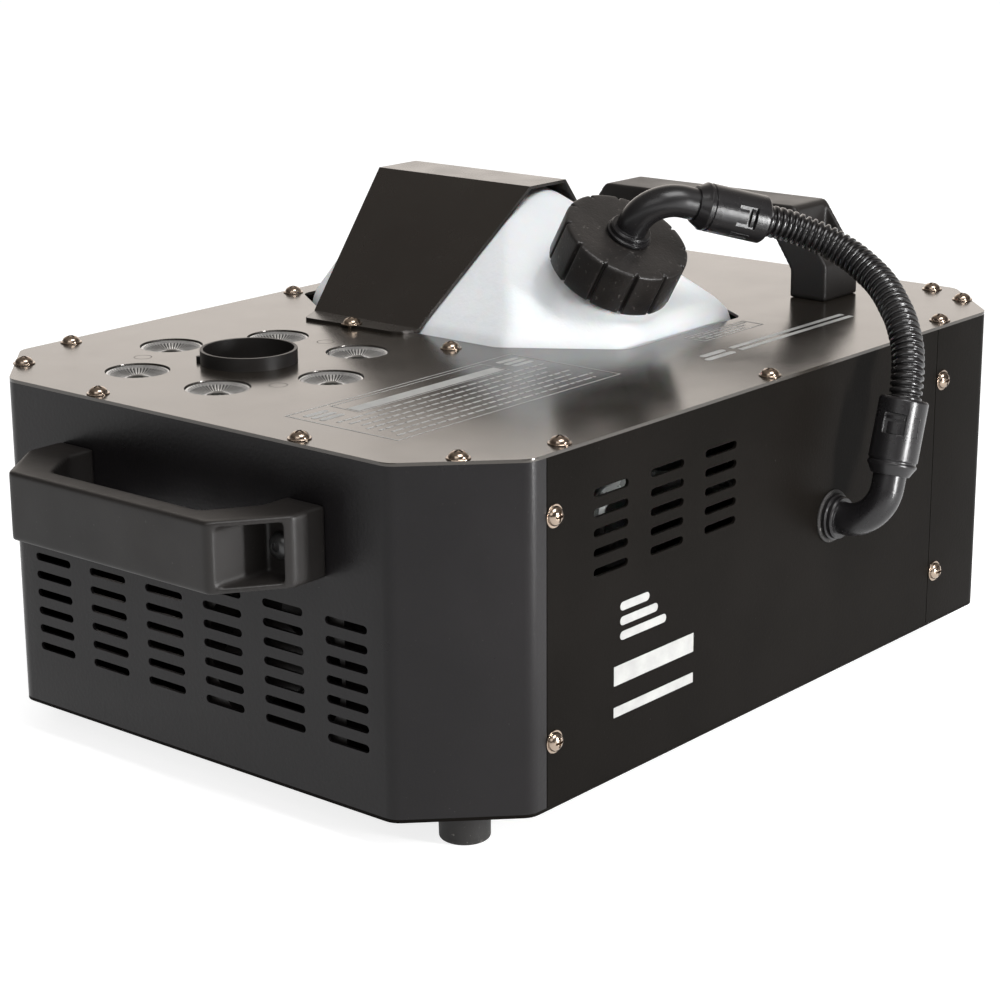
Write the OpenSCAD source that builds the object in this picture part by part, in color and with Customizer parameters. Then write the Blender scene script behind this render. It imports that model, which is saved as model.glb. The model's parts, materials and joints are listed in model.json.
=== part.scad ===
// Vertical fog machine: sheet-metal housing, LED ring round the fog nozzle, sunken fluid tank
// and a short corrugated hose from the tank cap to the pump inlet in the side.
// Millimetres, +Z up. X runs from the front handle (-X) to the control end (+X).
// Origin: centre of the footprint, on the plane that the rubber feet stand on.

/* [Housing] */
// Length of the sheet housing along X
body_l = 430; // [426:1:440]
// Width of the sheet housing along Y
body_w = 304; // [300:1:310]
// Height of the sheet housing without its feet
body_h = 150; // [148:1:155]
// Leg of the 45 degree facets on the four upright corners
corner_cut = 40; // [36:1:44]
// Outer bend radius of the sheet at the facets
bend_r = 9; // [6:1:12]
// Sheet thickness
sheet = 1.5; // [1.2:0.1:1.8]
// Width of the inner frame's flat rings, from the outside of the body
flange_w = 12; // [10:1:14]
// Seam between front cover and side panels, from the body centre
front_seam = -166; // [-170:1:-162]
// Seam between side panels and rear cover, from the body centre
rear_seam = 130; // [126:1:134]

/* [Feet] */
// Diameter of a rubber foot
foot_d = 22; // [18:1:26]
// Height of a rubber foot
foot_h = 15; // [12:1:18]
// Distance of the feet from the body centre along X
foot_x = 180; // [170:1:185]
// Distance of the feet from the body centre along Y
foot_y = 120; // [110:1:125]

/* [Vents] */
// Length of one vent slot
slot_l = 23; // [18:1:26]
// Width of one vent slot
slot_w = 3.6; // [3:0.1:4.5]
// Spacing of the slot columns on the front end
end_pitch = 35.5; // [33:0.5:37]
// Spacing of the slot columns on the sides
side_pitch = 38.4; // [36:0.1:42]
// Spacing of the slot rows
row_pitch = 8.4; // [7:0.1:9]

/* [LED ring and nozzle] */
// Nozzle axis, from the body centre along X
nozzle_x = -125; // [-130:1:-120]
// Nozzle axis, from the body centre along Y
nozzle_y = 53.5; // [50:0.5:56]
// Radius of the circle that the LEDs sit on
led_ring_r = 51; // [48:1:54]
// Diameter of one LED hole in the top panel
led_hole_d = 29; // [26:1:31]
// Number of LEDs
led_count = 6; // [6:1:6]
// Outer radius of the nozzle collar
collar_r = 22; // [20:0.5:23]
// Inner radius of the nozzle collar
collar_bore_r = 20.5; // [18:0.5:21]
// Height of the collar above the top panel
collar_up = 6; // [4:1:9]

/* [Handles] */
// Overall length of a handle
handle_l = 158; // [150:1:164]
// Height of a handle above its panel
handle_h = 46; // [42:1:50]
// Width of a handle
handle_w = 30; // [26:1:32]
// Thickness of the grip bar
grip_t = 11; // [9:1:13]

/* [Tank] */
// Height of the tank ridge above the body's bottom
ridge_z = 210.8; // [209:0.1:211]
// Tilt of the cap axis from vertical, towards the hose side
cap_tilt = 32; // [30:1:34]
// Heading of the cap's tilt, anticlockwise from +X
cap_heading = 261; // [258:1:264]
// Outer diameter of the cap over its pads
cap_d = 60.8; // [58:0.2:62]
// Height of the cap
cap_h = 23; // [21:1:25]
// Number of gripping pads round the cap
cap_pads = 12; // [10:1:14]

/* [Hose fittings] */
// Outer diameter of the corrugated hose
hose_d = 15; // [14:0.5:15.5]
// Heading of the upper elbow round the cap axis
upper_turn = 61; // [59:1:63]
// Heading of the lower elbow round its own axis, up from +X
lower_turn = 73; // [71:1:75]
// Length of a hose connector
connector_l = 35; // [34:1:38]
// Outer diameter of a hose connector
connector_d = 22.4; // [21:0.1:24]

/* [Hidden] */
$fn = 48;

part_black = [0.07, 0.07, 0.08];
steel_black = [0.1, 0.1, 0.1];
half_l = body_l / 2;
half_w = body_w / 2;
lid_z = body_h - sheet;      // underside of the top panel
control_proud = 6;           // how far the control end's parts stand out
body_x = (handle_h - control_proud) / 2;
seam_gap = 0.5;
screw_r = 2;
screw_hole_r = 2.1;

// ---------- helpers ----------
function unit(v) = v / norm(v);

// Arc of radius r that rounds the corner q between p and s
function fillet(p, q, s, r, n) =
    let (a = unit(p - q),
         b = unit(s - q),
         half = acos(a * b) / 2,
         c = q + unit(a + b) * r / sin(half),
         start = q + a * r / tan(half) - c,
         stop = q + b * r / tan(half) - c,
         a0 = atan2(start.y, start.x),
         sweep = (atan2(stop.y, stop.x) - a0 + 540) % 360 - 180)
    [for (i = [0:n]) c + r * [cos(a0 + sweep * i / n), sin(a0 + sweep * i / n)]];

function rounded(pts, r, n = 4) =
    let (m = len(pts))
    [for (i = [0:m - 1]) each fillet(pts[(i + m - 1) % m], pts[i], pts[(i + 1) % m], r, n)];

// Rectangle with its four corners cut off by legs cx and cy, anticlockwise
function octagon(x0, x1, y0, y1, cx, cy) =
    [[x1, y0 + cy], [x1, y1 - cy], [x1 - cx, y1], [x0 + cx, y1],
     [x0, y1 - cy], [x0, y0 + cy], [x0 + cx, y0], [x1 - cx, y0]];

function box_outline(l, w, r) =
    rounded([[-l / 2, -w / 2], [l / 2, -w / 2], [l / 2, w / 2], [-l / 2, w / 2]], r);

function stadium(l, w, n = 6) =
    [for (s = [0, 1]) for (i = [0:n])
        let (a = -90 + 180 * s + 180 * i / n)
        [(s == 0 ? 1 : -1) * (l - w) / 2, 0] + w / 2 * [cos(a), sin(a)]];

function body_outline(inset) =
    let (c = corner_cut - inset * (2 - sqrt(2)))
    rounded(octagon(inset - half_l, half_l - inset, inset - half_w, half_w - inset, c, c),
            bend_r - min(inset, bend_r - 1));

// Direction of a tilted axis, and of its local X once turned by turn
function axis_dir(tilt, heading) =
    [sin(tilt) * cos(heading), sin(tilt) * sin(heading), cos(tilt)];

// Tube of radius r along points p, one ring of n points at each
function ring_frame(p, i) =
    let (m = len(p) - 1,
         t = unit(p[min(i + 1, m)] - p[max(i - 1, 0)]),
         side = abs(t.z) > 0.9 ? [1, 0, 0] : [0, 0, 1],
         u = unit(cross(side, t)))
    [u, cross(t, u)];

// The sideways vector is carried along the route, so the rings don't twist
function carried(p, i, u) =
    let (m = len(p) - 1,
         t = unit(p[min(i + 1, m)] - p[max(i - 1, 0)]),
         v = unit(u - t * (u * t)))
    i == m ? [[v, cross(t, v)]] : concat([[v, cross(t, v)]], carried(p, i + 1, v));

module tube(p, r, n) {
    frames = carried(p, 0, ring_frame(p, 0)[0]);
    m = len(p);
    pts = [for (i = [0:m - 1]) for (k = [0:n - 1])
        p[i] + r * (frames[i][0] * cos(360 * k / n) + frames[i][1] * sin(360 * k / n))];
    sides = [for (i = [0:m - 2]) for (k = [0:n - 1])
        let (a = i * n + k, b = i * n + (k + 1) % n)
        [a, a + n, b + n, b]];
    ends = [[for (k = [0:n - 1]) k], [for (k = [n - 1:-1:0]) (m - 1) * n + k]];
    polyhedron(pts, concat(sides, ends));
}

// Solid skinned over rings of equal point count, lowest ring first
module skin(rings) {
    n = len(rings[0]);
    m = len(rings);
    sides = [for (i = [0:m - 2]) for (k = [0:n - 1])
        let (a = i * n + k, b = i * n + (k + 1) % n)
        each [[a, a + n, b + n], [a, b + n, b]]];
    ends = [[for (k = [0:n - 1]) k], [for (k = [n - 1:-1:0]) (m - 1) * n + k]];
    polyhedron([for (ring = rings) each ring], concat(sides, ends));
}

module in_body() {
    translate([body_x, 0, foot_h]) children();
}

// A profile drawn in Y and Z, extruded along +X from x
module along_x(x, length) {
    translate([x, 0, 0]) rotate([90, 0, 90]) linear_extrude(length) children();
}

// A profile drawn in X and Z, extruded along +Y from y
module along_y(y, length) {
    translate([0, y + length, 0]) rotate([90, 0, 0]) linear_extrude(length) children();
}

module rod_x(x, length, r) {
    translate([x, 0, 0]) rotate([0, 90, 0]) cylinder(h = length, r = r);
}

module slab(lo, hi) {
    translate(lo) cube(hi - lo);
}

// ---------- fasteners ----------
screw_head_r = 5;
screw_flange = 0.6;
screw_dome_r = 4.1;
screw_head_h = 3.4;
screw_l = 6;

// Truss-head screw: seat at z = 0, shank downwards
module truss_screw() {
    difference() {
        union() {
            rotate_extrude() polygon(concat(
                [[0, 0], [screw_head_r, 0], [screw_head_r, screw_flange - 0.2],
                    [screw_head_r - 0.2, screw_flange]],
                [for (a = [0:15:90])
                    [screw_dome_r * cos(a), screw_flange + (screw_head_h - screw_flange) * sin(a)]]));
            translate([0, 0, -screw_l]) cylinder(h = screw_l + 0.2, r = screw_r);
        }
        for (a = [0, 90]) rotate([0, 0, a]) slab([-2.3, -0.5, 1.8], [2.3, 0.5, 4]);
    }
}

top_screw_xy = concat(
    [for (s = [-1, 1]) [-209, 60 * s]],
    [for (s = [-1, 1]) [205, 104 * s]],
    [for (sx = [-1, 1]) for (sy = [-1, 1]) [192 * sx, 129 * sy]],
    [for (x = [-150, -2.5, 142]) for (s = [-1, 1]) [x, 145.6 * s]]);
shelf_screw_xy = [[-49, -1]];
bracket_screw_xy = [[-44, 66], [130.5, 66]];
side_screw_xz = [[-161.5, 124], [-161.5, 29], [135.5, 123], [135.5, 27]];
bracket_t = 1.5;

module at_points(xy, z) {
    for (p = xy) translate([p.x, p.y, z]) children();
}

// Places children on the near or far side wall, with +Z pointing out of the wall
module at_side(side) {
    for (p = side_screw_xz)
        translate([p.x, side * half_w, p.y]) rotate([-90 * side, 0, 0]) children();
}

module top_screw_holes() {
    at_points(top_screw_xy, lid_z - 10) cylinder(h = 20, r = screw_hole_r);
}

module side_screw_holes() {
    for (side = [-1, 1]) at_side(side) translate([0, 0, -10]) cylinder(h = 20, r = screw_hole_r);
}

module panel_screws() {
    color([0.62, 0.52, 0.4]) in_body() {
        at_points(concat(top_screw_xy, shelf_screw_xy), body_h) truss_screw();
        at_points(bracket_screw_xy, body_h + bracket_t) truss_screw();
        for (side = [-1, 1]) at_side(side) truss_screw();
    }
}

// ---------- housing ----------
module base_pan() {
    color(steel_black) in_body() difference() {
        linear_extrude(sheet) polygon(body_outline(0));
        for (sx = [-1, 1]) for (sy = [-1, 1])
            translate([foot_x * sx, foot_y * sy, -1]) cylinder(h = 5, r = screw_hole_r);
        for (x = [-70:14:70]) translate([x, 60, -1]) rotate([0, 0, 90]) linear_extrude(5)
            polygon(stadium(30, 4));
    }
}

// Closed band round the body
module band() {
    translate([0, 0, sheet]) linear_extrude(lid_z - sheet) difference() {
        polygon(body_outline(0));
        polygon(body_outline(sheet));
    }
}

module band_between(x0, x1) {
    intersection() {
        band();
        slab([x0, -half_w - 10, 0], [x1, half_w + 10, body_h]);
    }
}

// Flat rings under the top panel and on the base pan, joined by a strap behind each seam
module inner_frame() {
    strap_lap = [-5, 12];
    color(steel_black) in_body() difference() {
        union() {
            for (z = [sheet, lid_z - sheet]) translate([0, 0, z]) linear_extrude(sheet) difference() {
                polygon(body_outline(sheet));
                polygon(body_outline(flange_w));
            }
            for (x = [front_seam, rear_seam]) for (y = [2 * sheet - half_w, half_w - sheet])
                slab([x + strap_lap[0], y - sheet, sheet + 0.5], [x + strap_lap[1], y, lid_z - 0.5]);
        }
        top_screw_holes();
        side_screw_holes();
        for (s = [-1, 1]) translate([rear_handle_x, s * handle_screw_u, lid_z - 3])
            cylinder(h = 6, r = screw_hole_r);
    }
}

module end_vents() {
    end_cols = 6;
    end_rows = 7;
    first_row = 28.8;
    for (i = [0:end_cols - 1]) for (k = [0:end_rows - 1])
        translate([(i - (end_cols - 1) / 2) * end_pitch, first_row + k * row_pitch])
            polygon(stadium(slot_l, slot_w));
}

module side_vents() {
    side_cols = 3;
    side_rows = 5;
    for (i = [0:side_cols - 1]) for (k = [0:side_rows - 1])
        translate([-124.5 + i * side_pitch, 93.5 + k * row_pitch]) polygon(stadium(slot_l, slot_w));
}

module front_cover() {
    color(steel_black) in_body() difference() {
        band_between(-half_l - 1, front_seam - seam_gap / 2);
        along_x(-half_l - 1, 5) end_vents();
        for (s = [-1, 1]) translate([0, s * handle_screw_u, handle_z]) rod_x(-half_l - 5, 20, screw_hole_r);
        side_screw_holes();
    }
}

module rear_cover() {
    color(steel_black) in_body() difference() {
        band_between(rear_seam + seam_gap / 2, half_l + 1);
        control_cutouts();
        side_screw_holes();
    }
}

module side_panel(side) {
    difference() {
        intersection() {
            band_between(front_seam + seam_gap / 2, rear_seam - seam_gap / 2);
            slab([-half_l, side > 0 ? 0 : -half_w, 0], [half_l, side > 0 ? half_w : 0, body_h]);
        }
        along_y(side * half_w - 3, 6) side_vents();
        side_screw_holes();
    }
}

module near_side_panel() {
    color(steel_black) in_body() difference() {
        side_panel(-1);
        translate([inlet_x, -half_w - 3, inlet_z]) rotate([-90, 0, 0]) cylinder(h = 6, r = grommet_r);
    }
}

module far_side_panel() {
    color(steel_black) in_body() side_panel(1);
}

opening_x0 = -35;
opening_x1 = 124;
opening_y0 = -66;
opening_y1 = 140;
opening_cut = [34, 50];
knockout_r = 4.1;          // knockouts in the top panel, shown by their outlines
knockout_depth = 0.25;

module top_panel() {
    color(steel_black) in_body() translate([0, 0, lid_z]) difference() {
        linear_extrude(sheet) difference() {
            polygon(body_outline(0));
            polygon(rounded(octagon(opening_x0, opening_x1, opening_y0, opening_y1,
                opening_cut.x, opening_cut.y), 8));
        }
        translate([nozzle_x, nozzle_y, -1]) cylinder(h = 5, r = collar_r + 0.1);
        at_leds(-1) cylinder(h = 5, d = led_hole_d);
        for (a = [0, 120, 240]) translate([nozzle_x, nozzle_y, sheet - knockout_depth]) rotate([0, 0, a])
            translate([led_ring_r - 1.2, 0, 0]) linear_extrude(1) difference() {
                circle(r = knockout_r);
                circle(r = knockout_r - 0.3);
            }
        for (xy = concat(top_screw_xy, shelf_screw_xy, bracket_screw_xy))
            translate([xy.x, xy.y, -1]) cylinder(h = 5, r = screw_hole_r);
        for (s = [-1, 1]) translate([rear_handle_x, s * handle_screw_u, -1])
            cylinder(h = 5, r = screw_hole_r);
    }
}

// ---------- handles ----------
handle_foot_t = 21;      // length of a handle foot along the handle
handle_step = 18;        // height at which the outer face starts to slope
handle_top_in = 20;      // how far the top corners lie inside the ends
handle_wall = 2.6;
handle_floor = 14;
handle_leg = 14;         // height at which the inner faces start to slope
handle_z = 112;          // centre height of the front handle above the body's bottom
rear_handle_x = 159;
handle_screw_u = handle_l / 2 - handle_foot_t / 2;

function handle_outline() =
    let (e = handle_l / 2, t = e - handle_top_in, i = e - handle_foot_t, g = i - 14,
         grip_z = handle_h - grip_t)
    concat([[e, 0]], fillet([e, 0], [e, handle_step], [t, handle_h], 3, 3),
        fillet([e, handle_step], [t, handle_h], [-t, handle_h], 4, 4),
        fillet([t, handle_h], [-t, handle_h], [-e, handle_step], 4, 4),
        fillet([-t, handle_h], [-e, handle_step], [-e, 0], 3, 3), [[-e, 0], [-i, 0]],
        fillet([-i, 0], [-i, handle_leg], [-g, grip_z], 5, 3),
        fillet([-i, handle_leg], [-g, grip_z], [g, grip_z], 6, 4),
        fillet([-g, grip_z], [g, grip_z], [i, handle_leg], 6, 4),
        fillet([g, grip_z], [i, handle_leg], [i, 0], 5, 3), [[i, 0]]);

// Handle lying in X and Y, its width along Z, centred on z = 0
module handle() {
    void_u = handle_foot_t - handle_wall - 2.4;
    difference() {
        translate([0, 0, -handle_w / 2]) linear_extrude(handle_w) polygon(handle_outline());
        for (s = [-1, 1]) {
            translate([s * (handle_l / 2 - handle_wall - void_u / 2), handle_h / 2 + handle_floor, 0])
                cube([void_u, handle_h, handle_w - 2 * handle_wall], center = true);
            translate([s * handle_screw_u, -1, 0]) rotate([-90, 0, 0])
                cylinder(h = handle_floor + 2, r = screw_hole_r);
        }
    }
}

module front_handle() {
    color(part_black) in_body() translate([-half_l, 0, handle_z]) rotate([0, 0, 90]) handle();
}

module rear_handle() {
    color(part_black) in_body() translate([rear_handle_x, 0, body_h]) rotate([90, 0, 90]) handle();
}

module handle_screw() {
    head_r = 5.6;
    shank = handle_floor + 8;
    difference() {
        union() {
            rotate_extrude() polygon(concat([[0, 0], [head_r, 0]],
                [for (a = [15:15:90]) [head_r * cos(a), 1.2 + 3 * sin(a)]]));
            translate([0, 0, -shank]) cylinder(h = shank + 0.2, r = screw_r);
        }
        translate([0, 0, 2.4]) cylinder(h = 3, r = 2.2, $fn = 6);
    }
}

module handle_screws() {
    color(part_black) in_body() for (s = [-1, 1]) {
        translate([-half_l - handle_floor, s * handle_screw_u, handle_z]) rotate([0, -90, 0]) handle_screw();
        translate([rear_handle_x, s * handle_screw_u, body_h + handle_floor]) handle_screw();
    }
}

// ---------- feet ----------
module at_feet() {
    for (sx = [-1, 1]) for (sy = [-1, 1]) translate([body_x + foot_x * sx, foot_y * sy, 0]) children();
}

module rubber_feet() {
    recess_r = 5;
    recess_h = 9;
    color([0.05, 0.05, 0.05]) at_feet() rotate_extrude()
        polygon([[recess_r, 0], [foot_d / 2 - 1.4, 0], [foot_d / 2 - 0.3, 0.9], [foot_d / 2, foot_h],
            [screw_hole_r, foot_h], [screw_hole_r, recess_h], [recess_r, recess_h]]);
}

module foot_screws() {
    color([0.6, 0.6, 0.62]) at_feet() difference() {
        union() {
            translate([0, 0, 6.4]) cylinder(h = 2.6, r = 4.2);
            translate([0, 0, 8.8]) cylinder(h = 13, r = screw_r);
            translate([0, 0, foot_h + sheet]) cylinder(h = 3, r = 4, $fn = 6);
        }
        for (a = [0, 90]) rotate([0, 0, a]) slab([-2, -0.45, 6], [2, 0.45, 7.6]);
    }
}

// ---------- tank ----------
cap_top = [20, -50, 198];                     // centre of the cap's top face, from the body centre
cap_axis = axis_dir(cap_tilt, cap_heading);
neck_r = 23.8;
neck_bore_r = 20;
neck_below = 4.8;                             // the neck's rim below the cap's top face
tank_wall = 2.2;

// Tank sections: height, x limits, y limits, cut of the corners, corner radius
tank_sections = [
    [60, -24, 114, -56, 130, 0.8, 12],
    [62, -28, 118, -60, 134, 0.85, 13],
    [69, -31, 121, -63, 137, 0.92, 14],
    [147, -31, 121, -63, 137, 0.92, 14],
    [153, -28, 118.5, -61.8, 136, 0.9, 13],
    [159, -22.2, 112.2, -58, 133.5, 0.86, 12],
    [180, -0.8, 89.4, -27.5, 124.5, 0.66, 9],
    [203, 22.4, 64.8, 5.5, 114.5, 0.38, 6],
    [207.5, 27.4, 59, 12.5, 111, 0.32, 5],
    [209.8, 32, 53.5, 19, 106, 0.26, 4],
    [ridge_z, 37, 47, 28, 97, 0.12, 1.5]];

function tank_ring(s, wall) =
    let (h = s[0] < 100 ? s[0] + wall : s[0] - wall * 0.9,
         w = wall * 1.1,
         pts = rounded(octagon(s[1] + w, s[2] - w, s[3] + w, s[4] - w,
             opening_cut.x * s[5], opening_cut.y * s[5]), max(s[6] - wall, 0.8), 3))
    [for (p = pts) [p.x, p.y, h]];

// Along the cap axis: z = 0 is the cap's top face
module on_cap_axis() {
    translate(cap_top) rotate([0, cap_tilt, cap_heading]) children();
}

tank_colour = [0.9, 0.93, 0.95];
shoulder_row = 3;                             // section at which the straight walls end
tub_rows = [0:shoulder_row];
dome_rows = [shoulder_row:len(tank_sections) - 1];

module neck_bore() {
    on_cap_axis() translate([0, 0, -52]) cylinder(h = 60, r = neck_bore_r);
}

// Tank: a straight-walled tub, a sloping dome and the neck, one moulding in three nodes
module tank() {
    color(tank_colour) in_body() difference() {
        skin([for (i = tub_rows) tank_ring(tank_sections[i], 0)]);
        skin([for (i = tub_rows) let (s = tank_sections[i]) i < shoulder_row
            ? tank_ring(s, tank_wall)
            : [for (p = tank_ring(s, tank_wall)) [p.x, p.y, s[0] + 1]]]);
    }
}

module dome_inside() {
    s = tank_sections[shoulder_row];
    skin(concat([[for (p = tank_ring(s, tank_wall)) [p.x, p.y, s[0] - 1]]],
        [for (i = dome_rows) if (i > shoulder_row) tank_ring(tank_sections[i], tank_wall)]));
}

module tank_dome() {
    color(tank_colour) in_body() difference() {
        skin([for (i = dome_rows) tank_ring(tank_sections[i], 0)]);
        dome_inside();
        neck_bore();
    }
}

module tank_neck() {
    color(tank_colour) in_body() difference() {
        on_cap_axis() {
            translate([0, 0, -46]) cylinder(h = 20, r1 = 34, r2 = 26.5);
            translate([0, 0, -30]) cylinder(h = 30 - neck_below, r = neck_r);
        }
        skin([for (s = tank_sections) tank_ring(s, 0)]);
        neck_bore();
    }
}

module tank_shelf() {
    shelf_z = 60;
    x0 = opening_x0 + 2;
    x1 = opening_x1 - 2;
    y0 = opening_y0;
    y1 = opening_y1;
    color([0.6, 0.62, 0.64]) in_body() {
        difference() {
            slab([x0, y0, shelf_z - sheet], [x1, y1, shelf_z]);
            translate([45, 37, shelf_z - 5]) cylinder(h = 8, r = 12);
        }
        slab([x0, y0, sheet], [x1, y0 + sheet, shelf_z - sheet + eps_join]);
        slab([x0, y1 - sheet, sheet], [x1, y1, shelf_z - sheet + eps_join]);
        slab([x0, y0, sheet], [x1, y0 + 12, 2 * sheet]);
        slab([x0, y1 - 12, sheet], [x1, y1, 2 * sheet]);
    }
}
eps_join = 0.2;

bracket_top = 213;
bracket_x0 = 29.5;
bracket_x1 = 57;
module tank_bracket() {
    t = bracket_t;
    foot0 = bracket_x0 - (bracket_top - body_h);
    foot1 = bracket_x1 + 67;
    color(part_black) in_body() difference() {
        intersection() {
            along_y(0, 130) polygon([[foot0 - 14, body_h], [foot0 - 14, body_h + t],
                [foot0 + 0.6, body_h + t], [bracket_x0, bracket_top], [bracket_x1, bracket_top],
                [foot1 - 0.6, body_h + t], [foot1 + 13, body_h + t], [foot1 + 13, body_h],
                [foot1 - 1.4, body_h], [bracket_x1 - 0.7, bracket_top - t],
                [bracket_x0 + 0.7, bracket_top - t], [foot0 + 1.4, body_h]]);
            linear_extrude(bracket_top + 5) polygon(concat(
                fillet([foot0, 102], [foot0 - 13.5, 94], [foot0 - 13.5, 40], 3, 3),
                fillet([foot0 - 13.5, 94], [foot0 - 11, 37], [foot0 + 6, 32], 7, 4),
                [[foot0 + 2, 33.4], [bracket_x0, 16], [bracket_x1, 16], [foot1 - 2, 33],
                    [foot1 + 12, 38], [foot1 + 12, 94], [foot1 - 2, 100],
                    [bracket_x1, 114], [bracket_x0, 114], [foot0 + 1, 101.6]]));
        }
        for (xy = bracket_screw_xy) translate([xy.x, xy.y, body_h - 1]) cylinder(h = 5, r = screw_hole_r);
    }
}

stem_r = 6;
stem_l = 12;
module tank_cap() {
    skirt_in = neck_r + 0.4;
    core_r = cap_d / 2 - 1.5;
    groove_w = 2.6;
    color(part_black) in_body() on_cap_axis() difference() {
        union() {
            translate([0, 0, -cap_h]) cylinder(h = cap_h - 1.2, r = cap_d / 2);
            translate([0, 0, -1.2]) cylinder(h = 1.2, r1 = cap_d / 2, r2 = cap_d / 2 - 1.2);
        }
        translate([0, 0, -cap_h - 1]) cylinder(h = cap_h + 1 - 3, r = skirt_in);
        translate([0, 0, -10]) cylinder(h = 20, r = stem_r + 0.06);
        for (k = [0:cap_pads - 1]) rotate([0, 0, 360 * (k + 0.5) / cap_pads])
            slab([core_r, -groove_w / 2, -cap_h - 1], [core_r + 5, groove_w / 2, 1]);
    }
}

module cap_gasket() {
    color([0.5, 0.5, 0.48]) in_body() on_cap_axis() translate([0, 0, -4.5]) difference() {
        cylinder(h = 1.5, r = neck_r - 0.4);
        translate([0, 0, -1]) cylinder(h = 4, r = 14);
    }
}

// ---------- hose and fittings ----------
elbow_r = 7.5;
elbow_bend = 18;
elbow_reach = 24.8;        // from the seat to the corner of the two axes
elbow_out = 29;            // from the corner to the end of the elbow, inside the connector
shoulder_at = 23.4;        // from the corner to the start of the connector
collar_h = 5;

// Elbow with its seat at z = 0, rising along +Z and turning to +X
module elbow() {
    rise = elbow_reach - elbow_bend;
    difference() {
        union() {
            translate([0, 0, -stem_l]) cylinder(h = stem_l + 1, r = stem_r);
            rotate_extrude() polygon([[0, 0.3], [10.2, 0.3], [10.8, 0.9], [10.8, 2], [9.9, 2.3],
                [9.9, collar_h - 0.8], [9.2, collar_h], [0, collar_h]]);
            cylinder(h = rise, r = elbow_r);
            translate([elbow_bend, 0, rise]) rotate([90, 0, 0]) rotate([0, 0, 90])
                rotate_extrude(angle = 90) translate([elbow_bend, 0]) circle(r = elbow_r);
            translate([elbow_bend, 0, elbow_reach]) rotate([0, 90, 0])
                cylinder(h = elbow_out - elbow_bend, r = elbow_r);
        }
        translate([0, 0, -stem_l - 1]) cylinder(h = stem_l + 4, r = 3.5);
        translate([elbow_out - 6, 0, elbow_reach]) rotate([0, 90, 0]) cylinder(h = 8, r = 5);
    }
}

module on_upper_elbow() {
    in_body() on_cap_axis() rotate([0, 0, upper_turn]) children();
}

inlet_x = 41;
inlet_z = 77;
grommet_r = 10;
grommet_flange = 1;
module on_lower_elbow() {
    in_body() translate([inlet_x, -half_w - grommet_flange, inlet_z])
        rotate([90, 0, 0]) rotate([0, 0, lower_turn]) children();
}

// Connector along +X from the elbow's corner, in the elbow's frame; its two windows face the
// turn given round its own axis
module connector(window_turn) {
    r = connector_d / 2;
    bore_r = elbow_r + 0.1;
    window = [9.5, 10];
    translate([shoulder_at, 0, elbow_reach]) rotate([0, 90, 0]) difference() {
        rotate_extrude() polygon([[bore_r, 0], [r - 2.6, 0], [r - 0.6, 3.6], [r, 4.4], [r, 5.4],
            [r - 0.6, 5.8], [r - 0.6, 6.6], [r, 7], [r, connector_l - 1], [r - 0.8, connector_l],
            [bore_r, connector_l]]);
        for (side = [0, 180]) rotate([0, 0, window_turn + side]) translate([r, 0, connector_l - 12])
            cube([2 * 2.1, window.y, window.x], center = true);
    }
}

module cap_elbow() {
    color(part_black) on_upper_elbow() elbow();
}

module upper_connector() {
    color(part_black) on_upper_elbow() connector(60);
}

module wall_elbow() {
    color(part_black) on_lower_elbow() elbow();
}

module lower_connector() {
    color(part_black) on_lower_elbow() connector(106);
}

module wall_grommet() {
    color([0.05, 0.05, 0.05]) in_body() translate([inlet_x, -half_w, inlet_z]) rotate([90, 0, 0])
        rotate_extrude() polygon([[stem_r + 0.05, -sheet - 2], [12, -sheet - 2], [12, -sheet],
            [grommet_r - 0.05, -sheet], [grommet_r - 0.05, 0], [12.4, 0], [12.2, grommet_flange],
            [stem_r + 0.05, grommet_flange]]);
}

// Hose route in the object's own frame, from the upper connector to the lower one
hose_route = [
    [80, -91.5, 220.5], [84.5, -94.5, 219], [91, -99.5, 217], [96.5, -104.5, 214.5],
    [101, -111, 211.5], [104.5, -117.5, 208.5], [106.5, -124.5, 205], [107, -131.5, 201.5],
    [106.5, -138.5, 197.5], [105, -145.5, 193.5], [102.5, -152, 189], [99.5, -157.5, 184.5],
    [96, -163, 180], [92, -168, 174.5], [88.5, -172, 168.5], [84.5, -175, 162.5],
    [81, -177, 155.5], [78, -178, 148], [76.5, -178, 142]];

module hose() {
    color([0.06, 0.06, 0.07]) tube(hose_route, hose_d / 2, 12);
}

pickup_top = cap_top - (stem_l + 0.2) * cap_axis;
pickup_route = concat(
    [for (t = [0, 5, 12]) pickup_top - t * cap_axis],
    [[24, -24, 158], [27, -17, 142], [30, -12, 125], [32, -9, 108], [33, -7, 96], [33, -6, 90], [33, -6, 84]]);
module pickup_tube() {
    color([0.85, 0.86, 0.85]) in_body() tube(pickup_route, 4, 8);
}

module pickup_filter() {
    color([0.75, 0.6, 0.3]) in_body() translate([33, -6, 66]) {
        difference() {
            cylinder(h = 20, r = 7);
            translate([0, 0, 17]) cylinder(h = 5, r = 4.4);
            for (a = [0:60:300]) rotate([0, 0, a]) slab([5.4, -1, 3], [9, 1, 13]);
        }
    }
}

// ---------- fog and light ----------
module at_leds(z) {
    for (k = [0:led_count - 1])
        translate([nozzle_x, nozzle_y, z]) rotate([0, 0, 90 + 360 * k / led_count])
            translate([led_ring_r, 0, 0]) children();
}

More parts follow.
